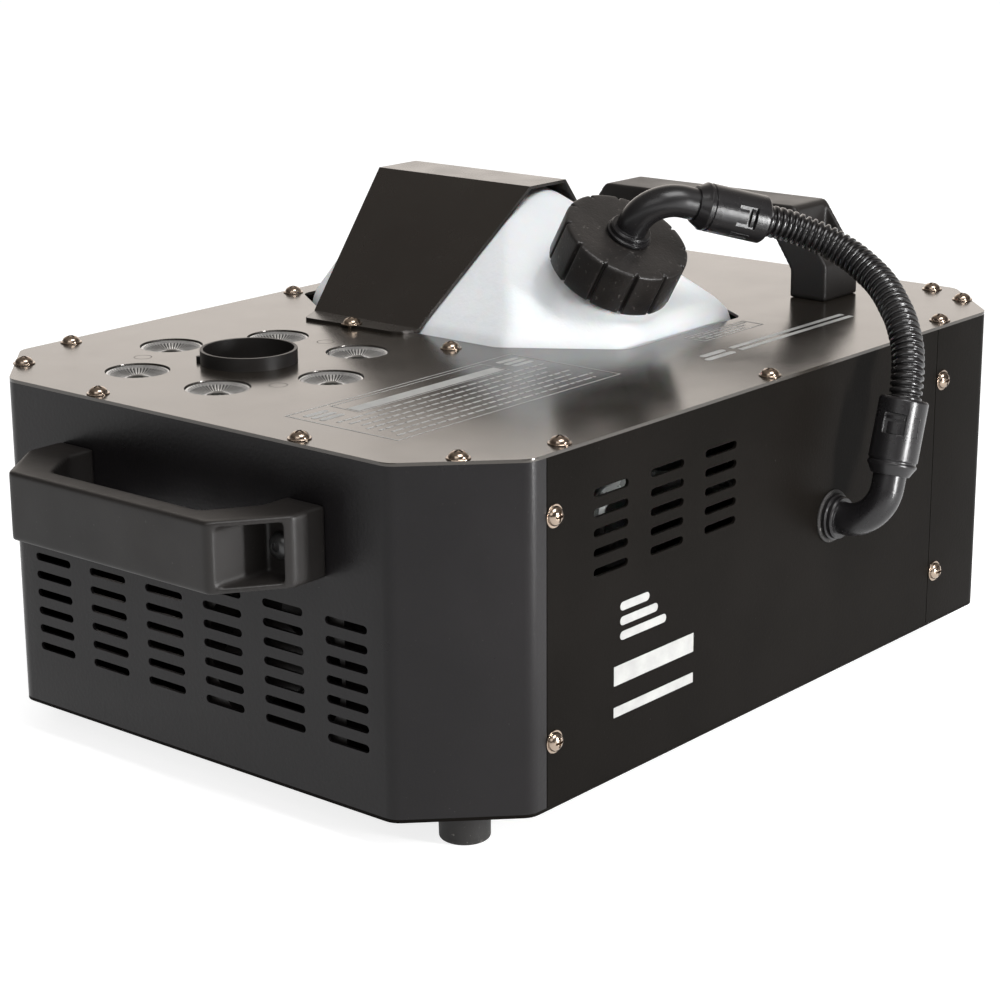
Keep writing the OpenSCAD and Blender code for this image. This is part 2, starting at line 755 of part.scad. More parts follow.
collar_z = 134;            // lower end of the collar, inside the housing
module nozzle_collar() {
    color(part_black) in_body() translate([nozzle_x, nozzle_y, 0]) {
        difference() {
            union() {
                translate([0, 0, collar_z]) cylinder(h = body_h + collar_up - collar_z, r = collar_r);
                translate([0, 0, lid_z - 2]) cylinder(h = 2, r = 25.5);
                rotate([0, 0, 130]) translate([collar_r + 0.5, 0, body_h]) cylinder(h = 2.4, r = 1.3);
            }
            translate([0, 0, collar_z - 1]) cylinder(h = 60, r = collar_bore_r);
        }
    }
}

jet_z = 112;
module jet_nozzle() {
    color([0.75, 0.6, 0.25]) in_body() translate([nozzle_x, nozzle_y, jet_z]) difference() {
        union() {
            cylinder(h = 6, r = 9, $fn = 6);
            translate([0, 0, 6]) cylinder(h = 8, r = 6);
            translate([0, 0, 14]) cylinder(h = 6, r1 = 6, r2 = 3);
        }
        translate([0, 0, -1]) cylinder(h = 17, r = 3);
        cylinder(h = 30, r = 0.8);
    }
}

heater_lo = [-163, -110, 38];
heater_hi = [-103, 30, 88];
pipe_z = 63;
pipe_r = 5;
module steam_pipe() {
    bend = 15;
    color([0.7, 0.7, 0.7]) in_body() translate([nozzle_x, 0, 0]) {
        translate([0, heater_hi.y, pipe_z]) rotate([-90, 0, 0])
            cylinder(h = nozzle_y - bend - heater_hi.y, r = pipe_r);
        translate([0, nozzle_y - bend, pipe_z + bend]) rotate([0, 90, 0])
            rotate_extrude(angle = 90) translate([bend, 0]) circle(r = pipe_r);
        translate([0, nozzle_y, pipe_z + bend]) cylinder(h = jet_z - pipe_z - bend, r = pipe_r);
    }
}

lens_r = 14.2;
module led_lenses() {
    // Collimating lens: domed centre well in the face, cone behind
    color([0.85, 0.88, 0.9, 0.6]) in_body() at_leds(0) rotate_extrude()
        polygon([[0, 136.5], [5, 136.5], [9.5, 141], [lens_r - 1.2, 146], [lens_r, 146.5], [lens_r, 148],
            [lens_r - 1.2, 148.1], [6.4, 144], [5.4, 143], [3.4, 143.4], [0, 144]]);
}

module led_bezels() {
    color(part_black) in_body() at_leds(0) rotate_extrude()
        polygon([[lens_r + 0.1, 134.1], [17, 134.1], [17, lid_z], [lens_r + 0.9, lid_z],
            [lens_r + 0.1, lid_z - 0.8]]);
}

module led_board() {
    color([0.85, 0.87, 0.85]) in_body() {
        difference() {
            translate([nozzle_x, nozzle_y, 132.4]) cylinder(h = 1.6, r = 70);
            translate([nozzle_x, nozzle_y, 120]) cylinder(h = 30, r = 27);
        }
        at_leds(134) translate([0, 0, 1.1]) cube([5, 5, 2.2], center = true);
    }
}

module led_heatsink() {
    color([0.7, 0.72, 0.74]) in_body() difference() {
        translate([nozzle_x, nozzle_y, 128.4]) cylinder(h = 4, r = 70);
        translate([nozzle_x, nozzle_y, 120]) cylinder(h = 30, r = 27);
    }
}

module heater_block() {
    color([0.7, 0.71, 0.72]) in_body() difference() {
        slab(heater_lo, heater_hi);
        for (y = [heater_lo.y + 20 : 24 : heater_hi.y - 10])
            slab([heater_lo.x - 1, y, heater_lo.z - 1], [heater_hi.x + 1, y + 3, heater_lo.z + 4]);
        translate([-140, heater_lo.y - 1, pipe_z + 14]) rotate([-90, 0, 0]) cylinder(h = 40, r = 3);
    }
}

insulation_t = 8;
cutout_y = -40;
module heater_insulation() {
    t = insulation_t;
    color([0.85, 0.8, 0.7]) in_body() difference() {
        slab([heater_lo.x - t, heater_lo.y + 1, heater_lo.z - t],
             [heater_hi.x + t, heater_hi.y - 1, heater_hi.z + t]);
        slab([heater_lo.x, heater_lo.y - 1, heater_lo.z], [heater_hi.x, heater_hi.y + 1, heater_hi.z]);
        translate([nozzle_x, cutout_y, heater_hi.z - 1]) cylinder(h = 20, r = 13);
    }
}

module heater_feet() {
    for (end = [0, 1]) {
        y0 = end == 0 ? heater_lo.y - 2 : heater_hi.y;
        difference() {
            union() {
                slab([heater_lo.x + 5, y0, sheet], [heater_hi.x - 5, y0 + 2, 84]);
                slab([heater_lo.x + 5, end == 0 ? y0 - 12 : y0 + 1, sheet],
                     [heater_hi.x - 5, end == 0 ? y0 + 1 : y0 + 14, sheet + 2]);
            }
            translate([nozzle_x, y0 - 5, pipe_z]) rotate([-90, 0, 0]) cylinder(h = 12, r = pipe_r + 1.5);
        }
    }
}

module thermal_cutout() {
    color([0.2, 0.2, 0.22]) in_body() translate([nozzle_x, cutout_y, heater_hi.z]) {
        cylinder(h = 2, r = 11);
        cylinder(h = 9, r = 8);
        for (s = [-1, 1]) translate([4 * s, 0, 11]) cube([0.8, 5, 5], center = true);
    }
}

// ---------- pump ----------
pump_xy = [-60, -95];
plunger_z0 = 38;
plunger_h = 26;
bore_z0 = 30;
bore_z1 = 68;
pump_bore_r = 6;
module pump_body() {
    color([0.12, 0.12, 0.13]) in_body() translate([pump_xy.x, pump_xy.y, 0]) difference() {
        union() {
            slab([-17, -20, 24], [17, 20, 74]);
            translate([0, 0, 14]) cylinder(h = 10.5, r = 9);
            translate([0, 0, 73.5]) cylinder(h = 6, r = 9);
            translate([0, 0, 79]) cylinder(h = 8, r = 3.5);
            translate([-24, 0, 60]) rotate([0, 90, 0]) cylinder(h = 8, r = 3.5);
        }
        translate([0, 0, bore_z0]) cylinder(h = bore_z1 - bore_z0, r = pump_bore_r);
        translate([0, 0, bore_z1 - 1]) cylinder(h = 30, r = 1.8);
    }
}

module pump_plunger() {
    color([0.75, 0.76, 0.78]) in_body() translate([pump_xy.x, pump_xy.y, plunger_z0]) difference() {
        cylinder(h = plunger_h, r = pump_bore_r - 0.07);
        translate([0, 0, -1]) cylinder(h = plunger_h + 2, r = 1.6);
    }
}

module pump_spring() {
    turns = 5;
    steps = 12;
    wire = 0.5;
    clear = 0.1;
    span = plunger_z0 - bore_z0 - 2 * (wire + clear);
    coil = [for (i = [0:turns * steps]) let (a = 360 * i / steps)
        [4.2 * cos(a), 4.2 * sin(a), bore_z0 + wire + clear + span * i / (turns * steps)]];
    color([0.7, 0.7, 0.7]) in_body() translate([pump_xy.x, pump_xy.y, 0]) tube(coil, wire, 6);
}

module pump_stand() {
    translate([pump_xy.x, pump_xy.y, 0]) {
        difference() {
            slab([-20, -24, 20], [20, 24, 24]);
            translate([0, 0, 10]) cylinder(h = 20, r = 9.3);
        }
        for (s = [-1, 1]) slab([-20, s > 0 ? 22.5 : -24, sheet], [20, s > 0 ? 24 : -22.5, 20.5]);
        for (s = [-1, 1]) slab([-20, s > 0 ? 22.5 : -34, sheet], [20, s > 0 ? 34 : -22.5, sheet + 1.5]);
    }
}

module inner_brackets() {
    color([0.6, 0.62, 0.64]) in_body() {
        heater_feet();
        pump_stand();
    }
}

pump_inlet_route = [[41, -140.8, 77], [40, -135, 78], [34, -128, 81], [22, -121, 86], [6, -114, 92],
    [-12, -108, 98], [-30, -103, 102], [-46, -99, 102], [-56, -96, 99], [-60, -95, 93], [-60, -95, 90],
    [-60, -95, 87.1]];
heater_feed_route = [[-84.1, -95, 60], [-86, -95, 60], [-89, -97, 60], [-91, -103, 60.5], [-93, -113, 61],
    [-98, -122, 62], [-107, -128, 63], [-116, -129, 63], [-122.5, -125, 63], [-125, -119, 63],
    [-125, -115, 63], [-125, -110.1, 63]];
module fluid_lines() {
    color([0.85, 0.86, 0.85]) in_body() {
        tube(pump_inlet_route, 3.5, 8);
        tube(heater_feed_route, 2.6, 8);
    }
}

// ---------- fan ----------
fan_x0 = -212;
fan_y = -45;
fan_z = 54;
fan_size = 80;
fan_depth = 25;
fan_hub_r = 16;
module fan_frame() {
    color(part_black) in_body() translate([fan_x0, fan_y, fan_z]) rotate([90, 0, 90]) {
        difference() {
            translate([0, 0, fan_depth / 2]) cube([fan_size, fan_size, fan_depth], center = true);
            translate([0, 0, -1]) cylinder(h = fan_depth + 2, r = 38);
            for (sx = [-1, 1]) for (sy = [-1, 1])
                translate([35.7 * sx, 35.7 * sy, -1]) cylinder(h = fan_depth + 2, r = 2.2);
        }
        translate([0, 0, fan_depth - 3]) cylinder(h = 3, r = fan_hub_r);
        for (a = [45:90:315]) rotate([0, 0, a]) slab([fan_hub_r - 1, -2, fan_depth - 3], [38.5, 2, fan_depth]);
        translate([0, 0, 10]) cylinder(h = fan_depth - 12, r = 1.5);
    }
}

module fan_rotor() {
    blades = 7;
    color([0.1, 0.1, 0.1]) in_body() translate([fan_x0, fan_y, fan_z]) rotate([90, 0, 90]) {
        difference() {
            translate([0, 0, 3]) cylinder(h = 18, r = fan_hub_r);
            translate([0, 0, 5]) cylinder(h = 30, r = 1.56);
        }
        for (k = [0:blades - 1]) rotate([0, 0, 360 * k / blades])
            translate([fan_hub_r - 1, 0, 12]) rotate([38, 0, 0]) slab([0, -8, -0.8], [21.5, 8, 0.8]);
    }
}

// ---------- electronics ----------
module power_board() {
    difference() {
        slab([-20, -40, 10], [110, 90, 11.6]);
        for (x = [-15, 105]) for (y = [-35, 85]) translate([x, y, 5]) cylinder(h = 10, r = 1.6);
    }
}

module power_components() {
    color([0.2, 0.2, 0.22]) in_body() {
        for (x = [-15, 105]) for (y = [-35, 85]) translate([x, y, sheet]) cylinder(h = 10 - sheet, r = 3);
        slab([0, -20, 11.6], [42, 14, 40]);
        translate([70, 0, 11.6]) cylinder(h = 30, r = 11);
        translate([70, 28, 11.6]) cylinder(h = 26, r = 8);
        slab([0, 40, 11.6], [28, 56, 30]);
        for (k = [0:5]) slab([50 + k * 7, 58, 11.6], [52.5 + k * 7, 84, 42]);
        slab([50, 55, 11.6], [87.5, 58.5, 42]);
    }
}

// ---------- control end ----------
panel_x = half_l;                 // outer face of the rear wall
display_y = 50;                   // centre of the control bezel
display_z = 101;
bezel_size = [112, 46];
window_size = [58, 20];
window_z = 8;                     // window centre above the bezel centre
button_z = -13;                   // button centres below the bezel centre
button_pitch = 24;
button_r = 4.1;
button_travel = 1;
inlet = [-82, 40];                // centre of the mains inlet, as y and z
rocker = [-40, 40];
fuse = [-10, 40];
data_in = [30, 42];
data_out = [72, 42];
socket_r = 11.8;
rocker_pivot_x = panel_x - 4;
rocker_rest = 9;

module at_rear(yz) {
    translate([panel_x, yz.x, yz.y]) rotate([90, 0, 90]) children();
}

module rear_hole(yz, size) {
    at_rear(yz) translate([0, 0, -3]) linear_extrude(6) square(size, center = true);
}

module control_cutouts() {
    rear_hole([display_y, display_z + window_z], window_size + [1, 1]);
    for (k = [0:3]) at_rear([display_y + (k - 1.5) * button_pitch, display_z + button_z])
        translate([0, 0, -3]) cylinder(h = 6, r = button_r + 0.6);
    rear_hole(inlet, [27.4, 20]);
    rear_hole(rocker, [21.6, 15.6]);
    at_rear(fuse) translate([0, 0, -3]) cylinder(h = 6, r = 6.3);
    for (s = [data_in, data_out]) at_rear(s) translate([0, 0, -3]) cylinder(h = 6, r = socket_r + 0.2);
    rear_hole([data_out.x, data_out.y + latch_y], [7.2, 5.2]);
}

module control_bezel() {
    color(part_black) in_body() at_rear([display_y, display_z]) linear_extrude(2.5) difference() {
        polygon(box_outline(bezel_size.x, bezel_size.y, 4));
        translate([0, window_z]) square(window_size, center = true);
        for (k = [0:3]) translate([(k - 1.5) * button_pitch, button_z]) circle(r = button_r + 0.3);
    }
}

module display_window() {
    color([0.1, 0.16, 0.2]) in_body() at_rear([display_y, display_z + window_z])
        translate([0, 0, -1.4]) linear_extrude(3.4) square(window_size - [0.4, 0.4], center = true);
}

module circuit_boards() {
    color([0.15, 0.35, 0.18]) in_body() {
        power_board();
        display_board();
    }
}

module display_board() {
    at_rear([display_y, display_z]) {
        translate([0, 0, -12]) linear_extrude(1.6) polygon(box_outline(108, 44, 2));
        translate([0, window_z, -10.4]) linear_extrude(6.5) square(window_size + [6, 2], center = true);
        for (k = [0:3]) translate([(k - 1.5) * button_pitch, button_z, -10.4])
            linear_extrude(2) square(6, center = true);
    }
}

module menu_button(k) {
    color([0.2, 0.2, 0.22]) in_body() at_rear([display_y + (k - 1.5) * button_pitch, display_z + button_z]) {
        translate([0, 0, -7]) cylinder(h = 9.6, r = button_r);
        translate([0, 0, 2.5]) cylinder(h = 1.3, r1 = button_r, r2 = button_r - 0.9);
        translate([0, 0, -4.4]) cylinder(h = 2.4, r = button_r + 1.6);
    }
}

module menu_button_1() { menu_button(0); }
module menu_button_2() { menu_button(1); }
module menu_button_3() { menu_button(2); }
module menu_button_4() { menu_button(3); }

module mains_inlet() {
    color(part_black) in_body() at_rear(inlet) {
        difference() {
            union() {
                linear_extrude(2.4) polygon(box_outline(48, 24, 3));
                translate([0, 0, -26]) linear_extrude(27) square([27, 19.6], center = true);
            }
            translate([0, 0, -16]) linear_extrude(20) polygon([[-12.2, -8], [12.2, -8], [12.2, 4],
                [8.2, 8], [-8.2, 8], [-12.2, 4]]);
            for (s = [-1, 1]) translate([20 * s, 0, -1]) cylinder(h = 5, r = 1.6);
        }
        for (s = [-1, 0, 1]) translate([7 * s, s == 0 ? 2 : -2, -10.5]) cube([2, 4, 12], center = true);
    }
}

module power_switch_frame() {
    color(part_black) in_body() at_rear(rocker) difference() {
        union() {
            linear_extrude(1.6) polygon(box_outline(25, 19, 1.5));
            translate([0, 0, -18]) linear_extrude(18.5) square([21.2, 15.2], center = true);
        }
        translate([0, 0, -12]) linear_extrude(20) square([18.8, 13.8], center = true);
        translate([-10.3, 0, rocker_pivot_x - panel_x]) rotate([0, 90, 0]) cylinder(h = 20.6, r = 1.5);
    }
}

module power_rocker() {
    color([0.55, 0.06, 0.05]) in_body() translate([rocker_pivot_x, rocker.x, rocker.y])
        rotate([0, rocker_rest, 0]) {
            along_y(-9.1, 18.2)
                polygon([[-4, -3], [2, -5.1], [6.6, -5.4], [5, 0], [6.6, 5.4], [2, 5.1], [-4, 3]]);
            translate([0, -10.1, 0]) rotate([-90, 0, 0]) cylinder(h = 20.2, r = 1.44);
        }
}

module fuse_holder() {
    color(part_black) in_body() at_rear(fuse) difference() {
        union() {
            cylinder(h = 2, r = 9);
            translate([0, 0, -26]) cylinder(h = 27, r = 6.2);
        }
        translate([0, 0, -22]) cylinder(h = 30, r = 5);
    }
}

module fuse_cap() {
    color([0.12, 0.12, 0.13]) in_body() at_rear(fuse) difference() {
        union() {
            translate([0, 0, 2.2]) cylinder(h = control_proud - 2.2, r = 7.2);
            translate([0, 0, -18]) cylinder(h = 20.5, r = 4.7);
        }
        slab([-5, -0.7, 4.8], [5, 0.7, 9]);
        for (a = [0:30:330]) rotate([0, 0, a]) translate([7.6, 0, 3.4]) cylinder(h = 5, r = 0.7);
    }
}

latch_y = 12;                     // latch above the socket's centre
module data_sockets() {
    color([0.25, 0.25, 0.27]) in_body() {
        at_rear(data_in) {
            difference() {
                union() {
                    linear_extrude(2) polygon(box_outline(26, 31, 3));
                    translate([0, 0, -20]) cylinder(h = 21, r = socket_r);
                }
                translate([0, 0, -14]) cylinder(h = 20, r = 9.8);
            }
            for (a = [90, 210, 330]) rotate([0, 0, a]) translate([3.6, 0, -15]) cylinder(h = 10, r = 1.2);
        }
        at_rear(data_out) difference() {
            union() {
                linear_extrude(2) polygon(box_outline(26, 31, 3));
                translate([0, 0, -20]) cylinder(h = 21, r = socket_r);
            }
            difference() {
                translate([0, 0, -11]) cylinder(h = 20, r = 9.8);
                translate([0, 0, -12]) cylinder(h = 13.2, r = 8.2);
            }
            for (a = [90, 210, 330]) rotate([0, 0, a]) translate([3.6, 0, -3])
                cylinder(h = 9, r = 1.4, $fn = 12);
            translate([0, latch_y, 0]) slab([-3.3, -2.3, -4], [3.3, 2.3, 4]);
        }
    }
}

module socket_latch() {
    color([0.6, 0.6, 0.62]) in_body() at_rear(data_out)
        translate([0, latch_y, 0]) slab([-3, -2, -1.6], [3, 2, 3.6]);
}

base_pan();
front_cover();
rear_cover();
near_side_panel();
far_side_panel();
top_panel();
inner_frame();
panel_screws();
front_handle();
rear_handle();
handle_screws();
rubber_feet();
foot_screws();
tank();
tank_dome();
tank_neck();
tank_shelf();
tank_bracket();
tank_cap();
cap_gasket();
pickup_tube();
pickup_filter();
cap_elbow();
upper_connector();
hose();
lower_connector();
wall_elbow();
wall_grommet();
nozzle_collar();
jet_nozzle();
steam_pipe();
led_lenses();
led_bezels();
led_board();
led_heatsink();
heater_block();
heater_insulation();
inner_brackets();
thermal_cutout();
pump_body();
pump_plunger();
pump_spring();
fluid_lines();
fan_frame();
fan_rotor();
circuit_boards();
power_components();
control_bezel();
display_window();
menu_button_1();
menu_button_2();
menu_button_3();
menu_button_4();
mains_inlet();
power_switch_frame();
power_rocker();
fuse_holder();
fuse_cap();
data_sockets();
socket_latch();
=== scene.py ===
"""Looks of the vertical fog machine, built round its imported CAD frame."""

import json
import math

import bmesh
import bpy
from mathutils import Matrix, Vector

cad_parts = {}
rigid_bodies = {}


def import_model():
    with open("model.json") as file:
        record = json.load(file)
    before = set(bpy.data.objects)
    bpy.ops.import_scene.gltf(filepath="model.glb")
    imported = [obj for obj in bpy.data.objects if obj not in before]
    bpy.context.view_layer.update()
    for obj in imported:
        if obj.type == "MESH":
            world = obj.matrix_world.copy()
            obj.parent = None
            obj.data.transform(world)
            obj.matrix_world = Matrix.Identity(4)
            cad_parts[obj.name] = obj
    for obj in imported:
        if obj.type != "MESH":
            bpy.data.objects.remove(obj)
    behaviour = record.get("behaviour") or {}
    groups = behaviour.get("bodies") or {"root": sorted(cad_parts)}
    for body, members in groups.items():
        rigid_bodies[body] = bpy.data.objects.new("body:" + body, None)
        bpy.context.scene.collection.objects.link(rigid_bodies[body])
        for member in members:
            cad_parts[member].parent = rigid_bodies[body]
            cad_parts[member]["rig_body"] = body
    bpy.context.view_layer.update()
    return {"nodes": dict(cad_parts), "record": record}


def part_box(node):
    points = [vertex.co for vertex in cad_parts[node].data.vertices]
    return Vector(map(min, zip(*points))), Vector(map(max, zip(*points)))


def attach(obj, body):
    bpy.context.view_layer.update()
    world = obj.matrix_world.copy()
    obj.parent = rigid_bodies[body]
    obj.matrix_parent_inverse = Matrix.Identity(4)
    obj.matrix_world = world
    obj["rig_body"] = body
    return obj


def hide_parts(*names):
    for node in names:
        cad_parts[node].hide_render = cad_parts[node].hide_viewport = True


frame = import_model()
NODES = frame["nodes"]
SCENE = bpy.context.scene
MM = 0.001

# Top of the deck over the underside of the base, and the outer face of the near side, in millimetres
DECK = 150.0
NEAR_WALL = -152.0
# Centre of the housing on the underside of its base, from the top panel's box
deck_low, deck_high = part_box("top_panel")
HOUSING = Vector(((deck_low.x + deck_high.x) / 2, (deck_low.y + deck_high.y) / 2, deck_high.z - DECK * MM))


def at(x, y, z):
    """A point in millimetres from the housing's centre and underside, in the row frame"""
    return HOUSING + Vector((x, y, z)) * MM


# ---------- camera ----------
# Place in metres, angles in degrees and lens in millimetres that put the housing's edges where the
# photo has them
CAMERA_PLACE = (-0.8872, -0.7503, 0.4241)
CAMERA_YAW = 40.012
CAMERA_PITCH = 16.245
CAMERA_ROLL = -0.3395
CAMERA_LENS = 91.35
SENSOR_WIDTH = 36


def make_camera():
    yaw, pitch, roll = (math.radians(a) for a in (CAMERA_YAW, CAMERA_PITCH, CAMERA_ROLL))
    ahead = Vector((math.cos(yaw) * math.cos(pitch), math.sin(yaw) * math.cos(pitch), -math.sin(pitch)))
    level = Vector((math.sin(yaw), -math.cos(yaw), 0))
    up = level.cross(ahead)
    right = math.cos(roll) * level + math.sin(roll) * up
    top = math.cos(roll) * up - math.sin(roll) * level
    data = bpy.data.cameras.new("camera")
    data.lens = CAMERA_LENS
    data.sensor_width = SENSOR_WIDTH
    data.clip_end = 60
    camera = bpy.data.objects.new("camera", data)
    turned = Matrix((right, top, -ahead)).transposed().to_4x4()
    camera.matrix_world = Matrix.Translation(CAMERA_PLACE) @ turned
    SCENE.collection.objects.link(camera)
    SCENE.camera = camera


make_camera()


# ---------- materials ----------
# Sockets of a Mix node that mixes colours
MIX_FACTOR, MIX_FIRST, MIX_SECOND = 0, 6, 7
MIX_COLOUR = 2


class Finish:
    """A Principled material with the nodes that feed it"""

    def __init__(self, name, sockets):
        self.material = bpy.data.materials.new(name)
        self.material.use_nodes = True
        self.tree = self.material.node_tree
        self.shader = self.tree.nodes["Principled BSDF"]
        for socket, value in sockets.items():
            self.shader.inputs[socket].default_value = value
        self.place = self.tree.nodes.new("ShaderNodeTexCoord").outputs["Object"]

    def node(self, kind, inputs, **settings):
        made = self.tree.nodes.new("ShaderNode" + kind)
        for key, value in settings.items():
            setattr(made, key, value)
        for socket, value in inputs.items():
            if isinstance(value, bpy.types.NodeSocket):
                self.tree.links.new(value, made.inputs[socket])
            else:
                made.inputs[socket].default_value = value
        return made

    def noise(self, scale, detail):
        wanted = {"Vector": self.place, "Scale": scale, "Detail": detail, "Roughness": 0.55}
        return self.node("TexNoise", wanted).outputs["Fac"]

    def remap(self, value, low, high, to_low, to_high):
        wanted = {"Value": value, "From Min": low, "From Max": high, "To Min": to_low, "To Max": to_high}
        return self.node("MapRange", wanted).outputs["Result"]

    def mix(self, factor, first, second):
        made = self.node("Mix", {}, data_type="RGBA")
        for socket, value in ((MIX_FACTOR, factor), (MIX_FIRST, first), (MIX_SECOND, second)):
            if isinstance(value, bpy.types.NodeSocket):
                self.tree.links.new(value, made.inputs[socket])
            else:
                made.inputs[socket].default_value = value
        return made.outputs[MIX_COLOUR]

    def feed(self, socket, output):
        self.tree.links.new(output, self.shader.inputs[socket])


# Noise range over which a mark goes from nothing to its full strength
MARK_EDGE = 0.06


def rgba(colour):
    return (*colour, 1.0)


def finish(name, tones, rough, bumps, tone_scale=14.0, smudge_scale=40.0, marks=None, **sockets):
    """tones: two colours that a slow noise mixes. rough: its two ends. bumps: (scale, height in metres,
    detail) each. marks: (colour, scale, threshold, strength) of sparse dust or wear. sockets: the shader's
    own values, Specular_IOR being its Specular IOR Level."""
    named = {key.replace("_", " "): value for key, value in sockets.items()}
    if "Specular IOR" in named:
        named["Specular IOR Level"] = named.pop("Specular IOR")
    made = Finish(name, named)
    slow = made.remap(made.noise(tone_scale, 4.0), 0.35, 0.65, 0.0, 1.0)
    colour = made.mix(slow, rgba(tones[0]), rgba(tones[1]))
    if marks:
        tint, scale, threshold, strength = marks
        spots = made.remap(made.noise(scale, 2.0), threshold, threshold + MARK_EDGE, 0.0, strength)
        colour = made.mix(spots, colour, rgba(tint))
    made.feed("Base Color", colour)
    made.feed("Roughness", made.remap(made.noise(smudge_scale, 5.0), 0.3, 0.7, *rough))
    normal = None
    for scale, height, detail in bumps:
        wanted = {"Height": made.noise(scale, detail), "Strength": 1.0, "Distance": height}
        if normal is not None:
            wanted["Normal"] = normal
        normal = made.node("Bump", wanted).outputs["Normal"]
    if normal is not None:
        made.feed("Normal", normal)
    return made.material


DUST = (0.30, 0.28, 0.26)
# Copies of one black powder coat whose base colours and sheen differ by face. These differences are painted
# shade and painted reflection of how light falls on each face; only their bumps and roughness stand for the
# real texture. Side copy: painted shade, darker, with a weak sheen
COAT_SHADED = finish(
    "powder_coat_side_shaded", ((0.0042, 0.0036, 0.0030), (0.0056, 0.0048, 0.0041)), (0.30, 0.38),
    [(620, 0.00005, 2.0), (2600, 0.00001, 2.0)], marks=(DUST, 900, 0.74, 0.10), IOR=1.08,
)
# Front copy: lighter and bluish, a painted reflection
COAT_FRONT_LIT = finish(
    "powder_coat_front_lit", ((0.0065, 0.0058, 0.0062), (0.0090, 0.0080, 0.0085)), (0.27, 0.34),
    [(560, 0.00007, 2.0), (2600, 0.00001, 2.0)], marks=(DUST, 900, 0.74, 0.12), Specular_IOR=0.2,
)
# Bracket copy: lighter, with a warm sheen, a painted reflection
COAT_BRACKET_LIT = finish(
    "powder_coat_bracket_lit", ((0.010, 0.008, 0.0065), (0.013, 0.011, 0.009)), (0.22, 0.30),
    [(700, 0.000012, 2.0), (2600, 0.000002, 2.0)], marks=(DUST, 900, 0.74, 0.2), Specular_IOR=0.55,
    Specular_Tint=(1.0, 0.95, 0.92, 1.0),
)
# Deck copy: lighter, with a warm sheen, a painted reflection of the bright surroundings
COAT_DECK_LIT = finish(
    "powder_coat_deck_lit", ((0.012, 0.010, 0.008), (0.016, 0.013, 0.010)), (0.16, 0.21),
    [(700, 0.000008, 2.0), (2600, 0.000002, 2.0)], marks=(DUST, 1100, 0.73, 0.2), Specular_IOR=0.9,
    Specular_Tint=(1.0, 0.95, 0.90, 1.0),
)
PLASTIC = finish(
    "black_plastic", ((0.010, 0.009, 0.0085), (0.015, 0.013, 0.012)), (0.38, 0.5),
    [(1500, 0.00002, 3.0), (160, 0.00004, 2.0)], marks=(DUST, 700, 0.72, 0.12), Specular_IOR=0.28,
)
CAP_PLASTIC = finish(
    "cap_plastic", ((0.009, 0.008, 0.0075), (0.015, 0.013, 0.012)), (0.34, 0.46),
    [(900, 0.00012, 3.0), (240, 0.00012, 2.0)], tone_scale=60, marks=(DUST, 420, 0.66, 0.18),
    Specular_IOR=0.34,
)
GLOSSY = finish(
    "glossy_plastic", ((0.006, 0.0055, 0.006), (0.009, 0.0085, 0.009)), (0.22, 0.32),
    [(420, 0.00003, 2.0)], marks=(DUST, 800, 0.74, 0.15), Specular_IOR=0.36,
)
HOSE = finish(
    "hose_plastic", ((0.006, 0.0055, 0.006), (0.009, 0.0085, 0.0085)), (0.20, 0.28),
    [(700, 0.00002, 2.0)], marks=(DUST, 800, 0.74, 0.12), Specular_IOR=0.42,
)
RUBBER = finish(
    "black_rubber", ((0.012, 0.011, 0.011), (0.020, 0.019, 0.018)), (0.6, 0.78),
    [(1200, 0.0001, 3.0)], marks=(DUST, 500, 0.66, 0.3), Specular_IOR=0.35,
)
BRONZE = finish(
    "bronze_screw", ((0.29, 0.23, 0.185), (0.38, 0.305, 0.24)), (0.15, 0.26),
    [(900, 0.00004, 2.0)], smudge_scale=300, Metallic=1.0,
)
BLACK_STEEL = finish(
    "black_steel", ((0.012, 0.012, 0.012), (0.02, 0.02, 0.02)), (0.28, 0.4),
    [(900, 0.00004, 2.0)], smudge_scale=200, Specular_IOR=0.6,
)
ZINC = finish(
    "zinc_steel", ((0.52, 0.53, 0.55), (0.62, 0.62, 0.62)), (0.3, 0.46),
    [(500, 0.00003, 3.0)], tone_scale=60, Metallic=1.0,
)
MILKY = finish(
    "milky_plastic", ((0.72, 0.735, 0.75), (0.68, 0.70, 0.715)), (0.36, 0.5),
    [(140, 0.0003, 3.0), (900, 0.00006, 2.0)], tone_scale=24, Subsurface_Weight=0.2, Subsurface_Scale=0.006,
    Specular_IOR=0.4,
)
CLEAR = finish(
    "clear_tube", ((0.70, 0.72, 0.70), (0.78, 0.80, 0.78)), (0.2, 0.35),
    [(300, 0.00005, 2.0)], Transmission_Weight=0.5, Specular_IOR=0.5,
)
SEAL = finish("grey_seal", ((0.30, 0.30, 0.28), (0.36, 0.36, 0.34)), (0.6, 0.75), [(900, 0.00005, 2.0)])
CAST = finish(
    "cast_aluminium", ((0.50, 0.51, 0.52), (0.60, 0.61, 0.62)), (0.4, 0.6),
    [(700, 0.00015, 3.0)], tone_scale=50, Metallic=1.0,
)
BRASS = finish(
    "brass", ((0.62, 0.45, 0.20), (0.72, 0.55, 0.27)), (0.2, 0.36),
    [(600, 0.00004, 2.0)], tone_scale=120, Metallic=1.0,
)
SINTER = finish(
    "sintered_bronze", ((0.42, 0.28, 0.14), (0.55, 0.38, 0.2)), (0.5, 0.7),
    [(1800, 0.0003, 2.0)], tone_scale=300, Metallic=1.0,
)
STAINLESS = finish(
    "stainless", ((0.55, 0.55, 0.56), (0.64, 0.64, 0.65)), (0.2, 0.32),
    [(500, 0.00003, 2.0)], tone_scale=80, Metallic=1.0,
)
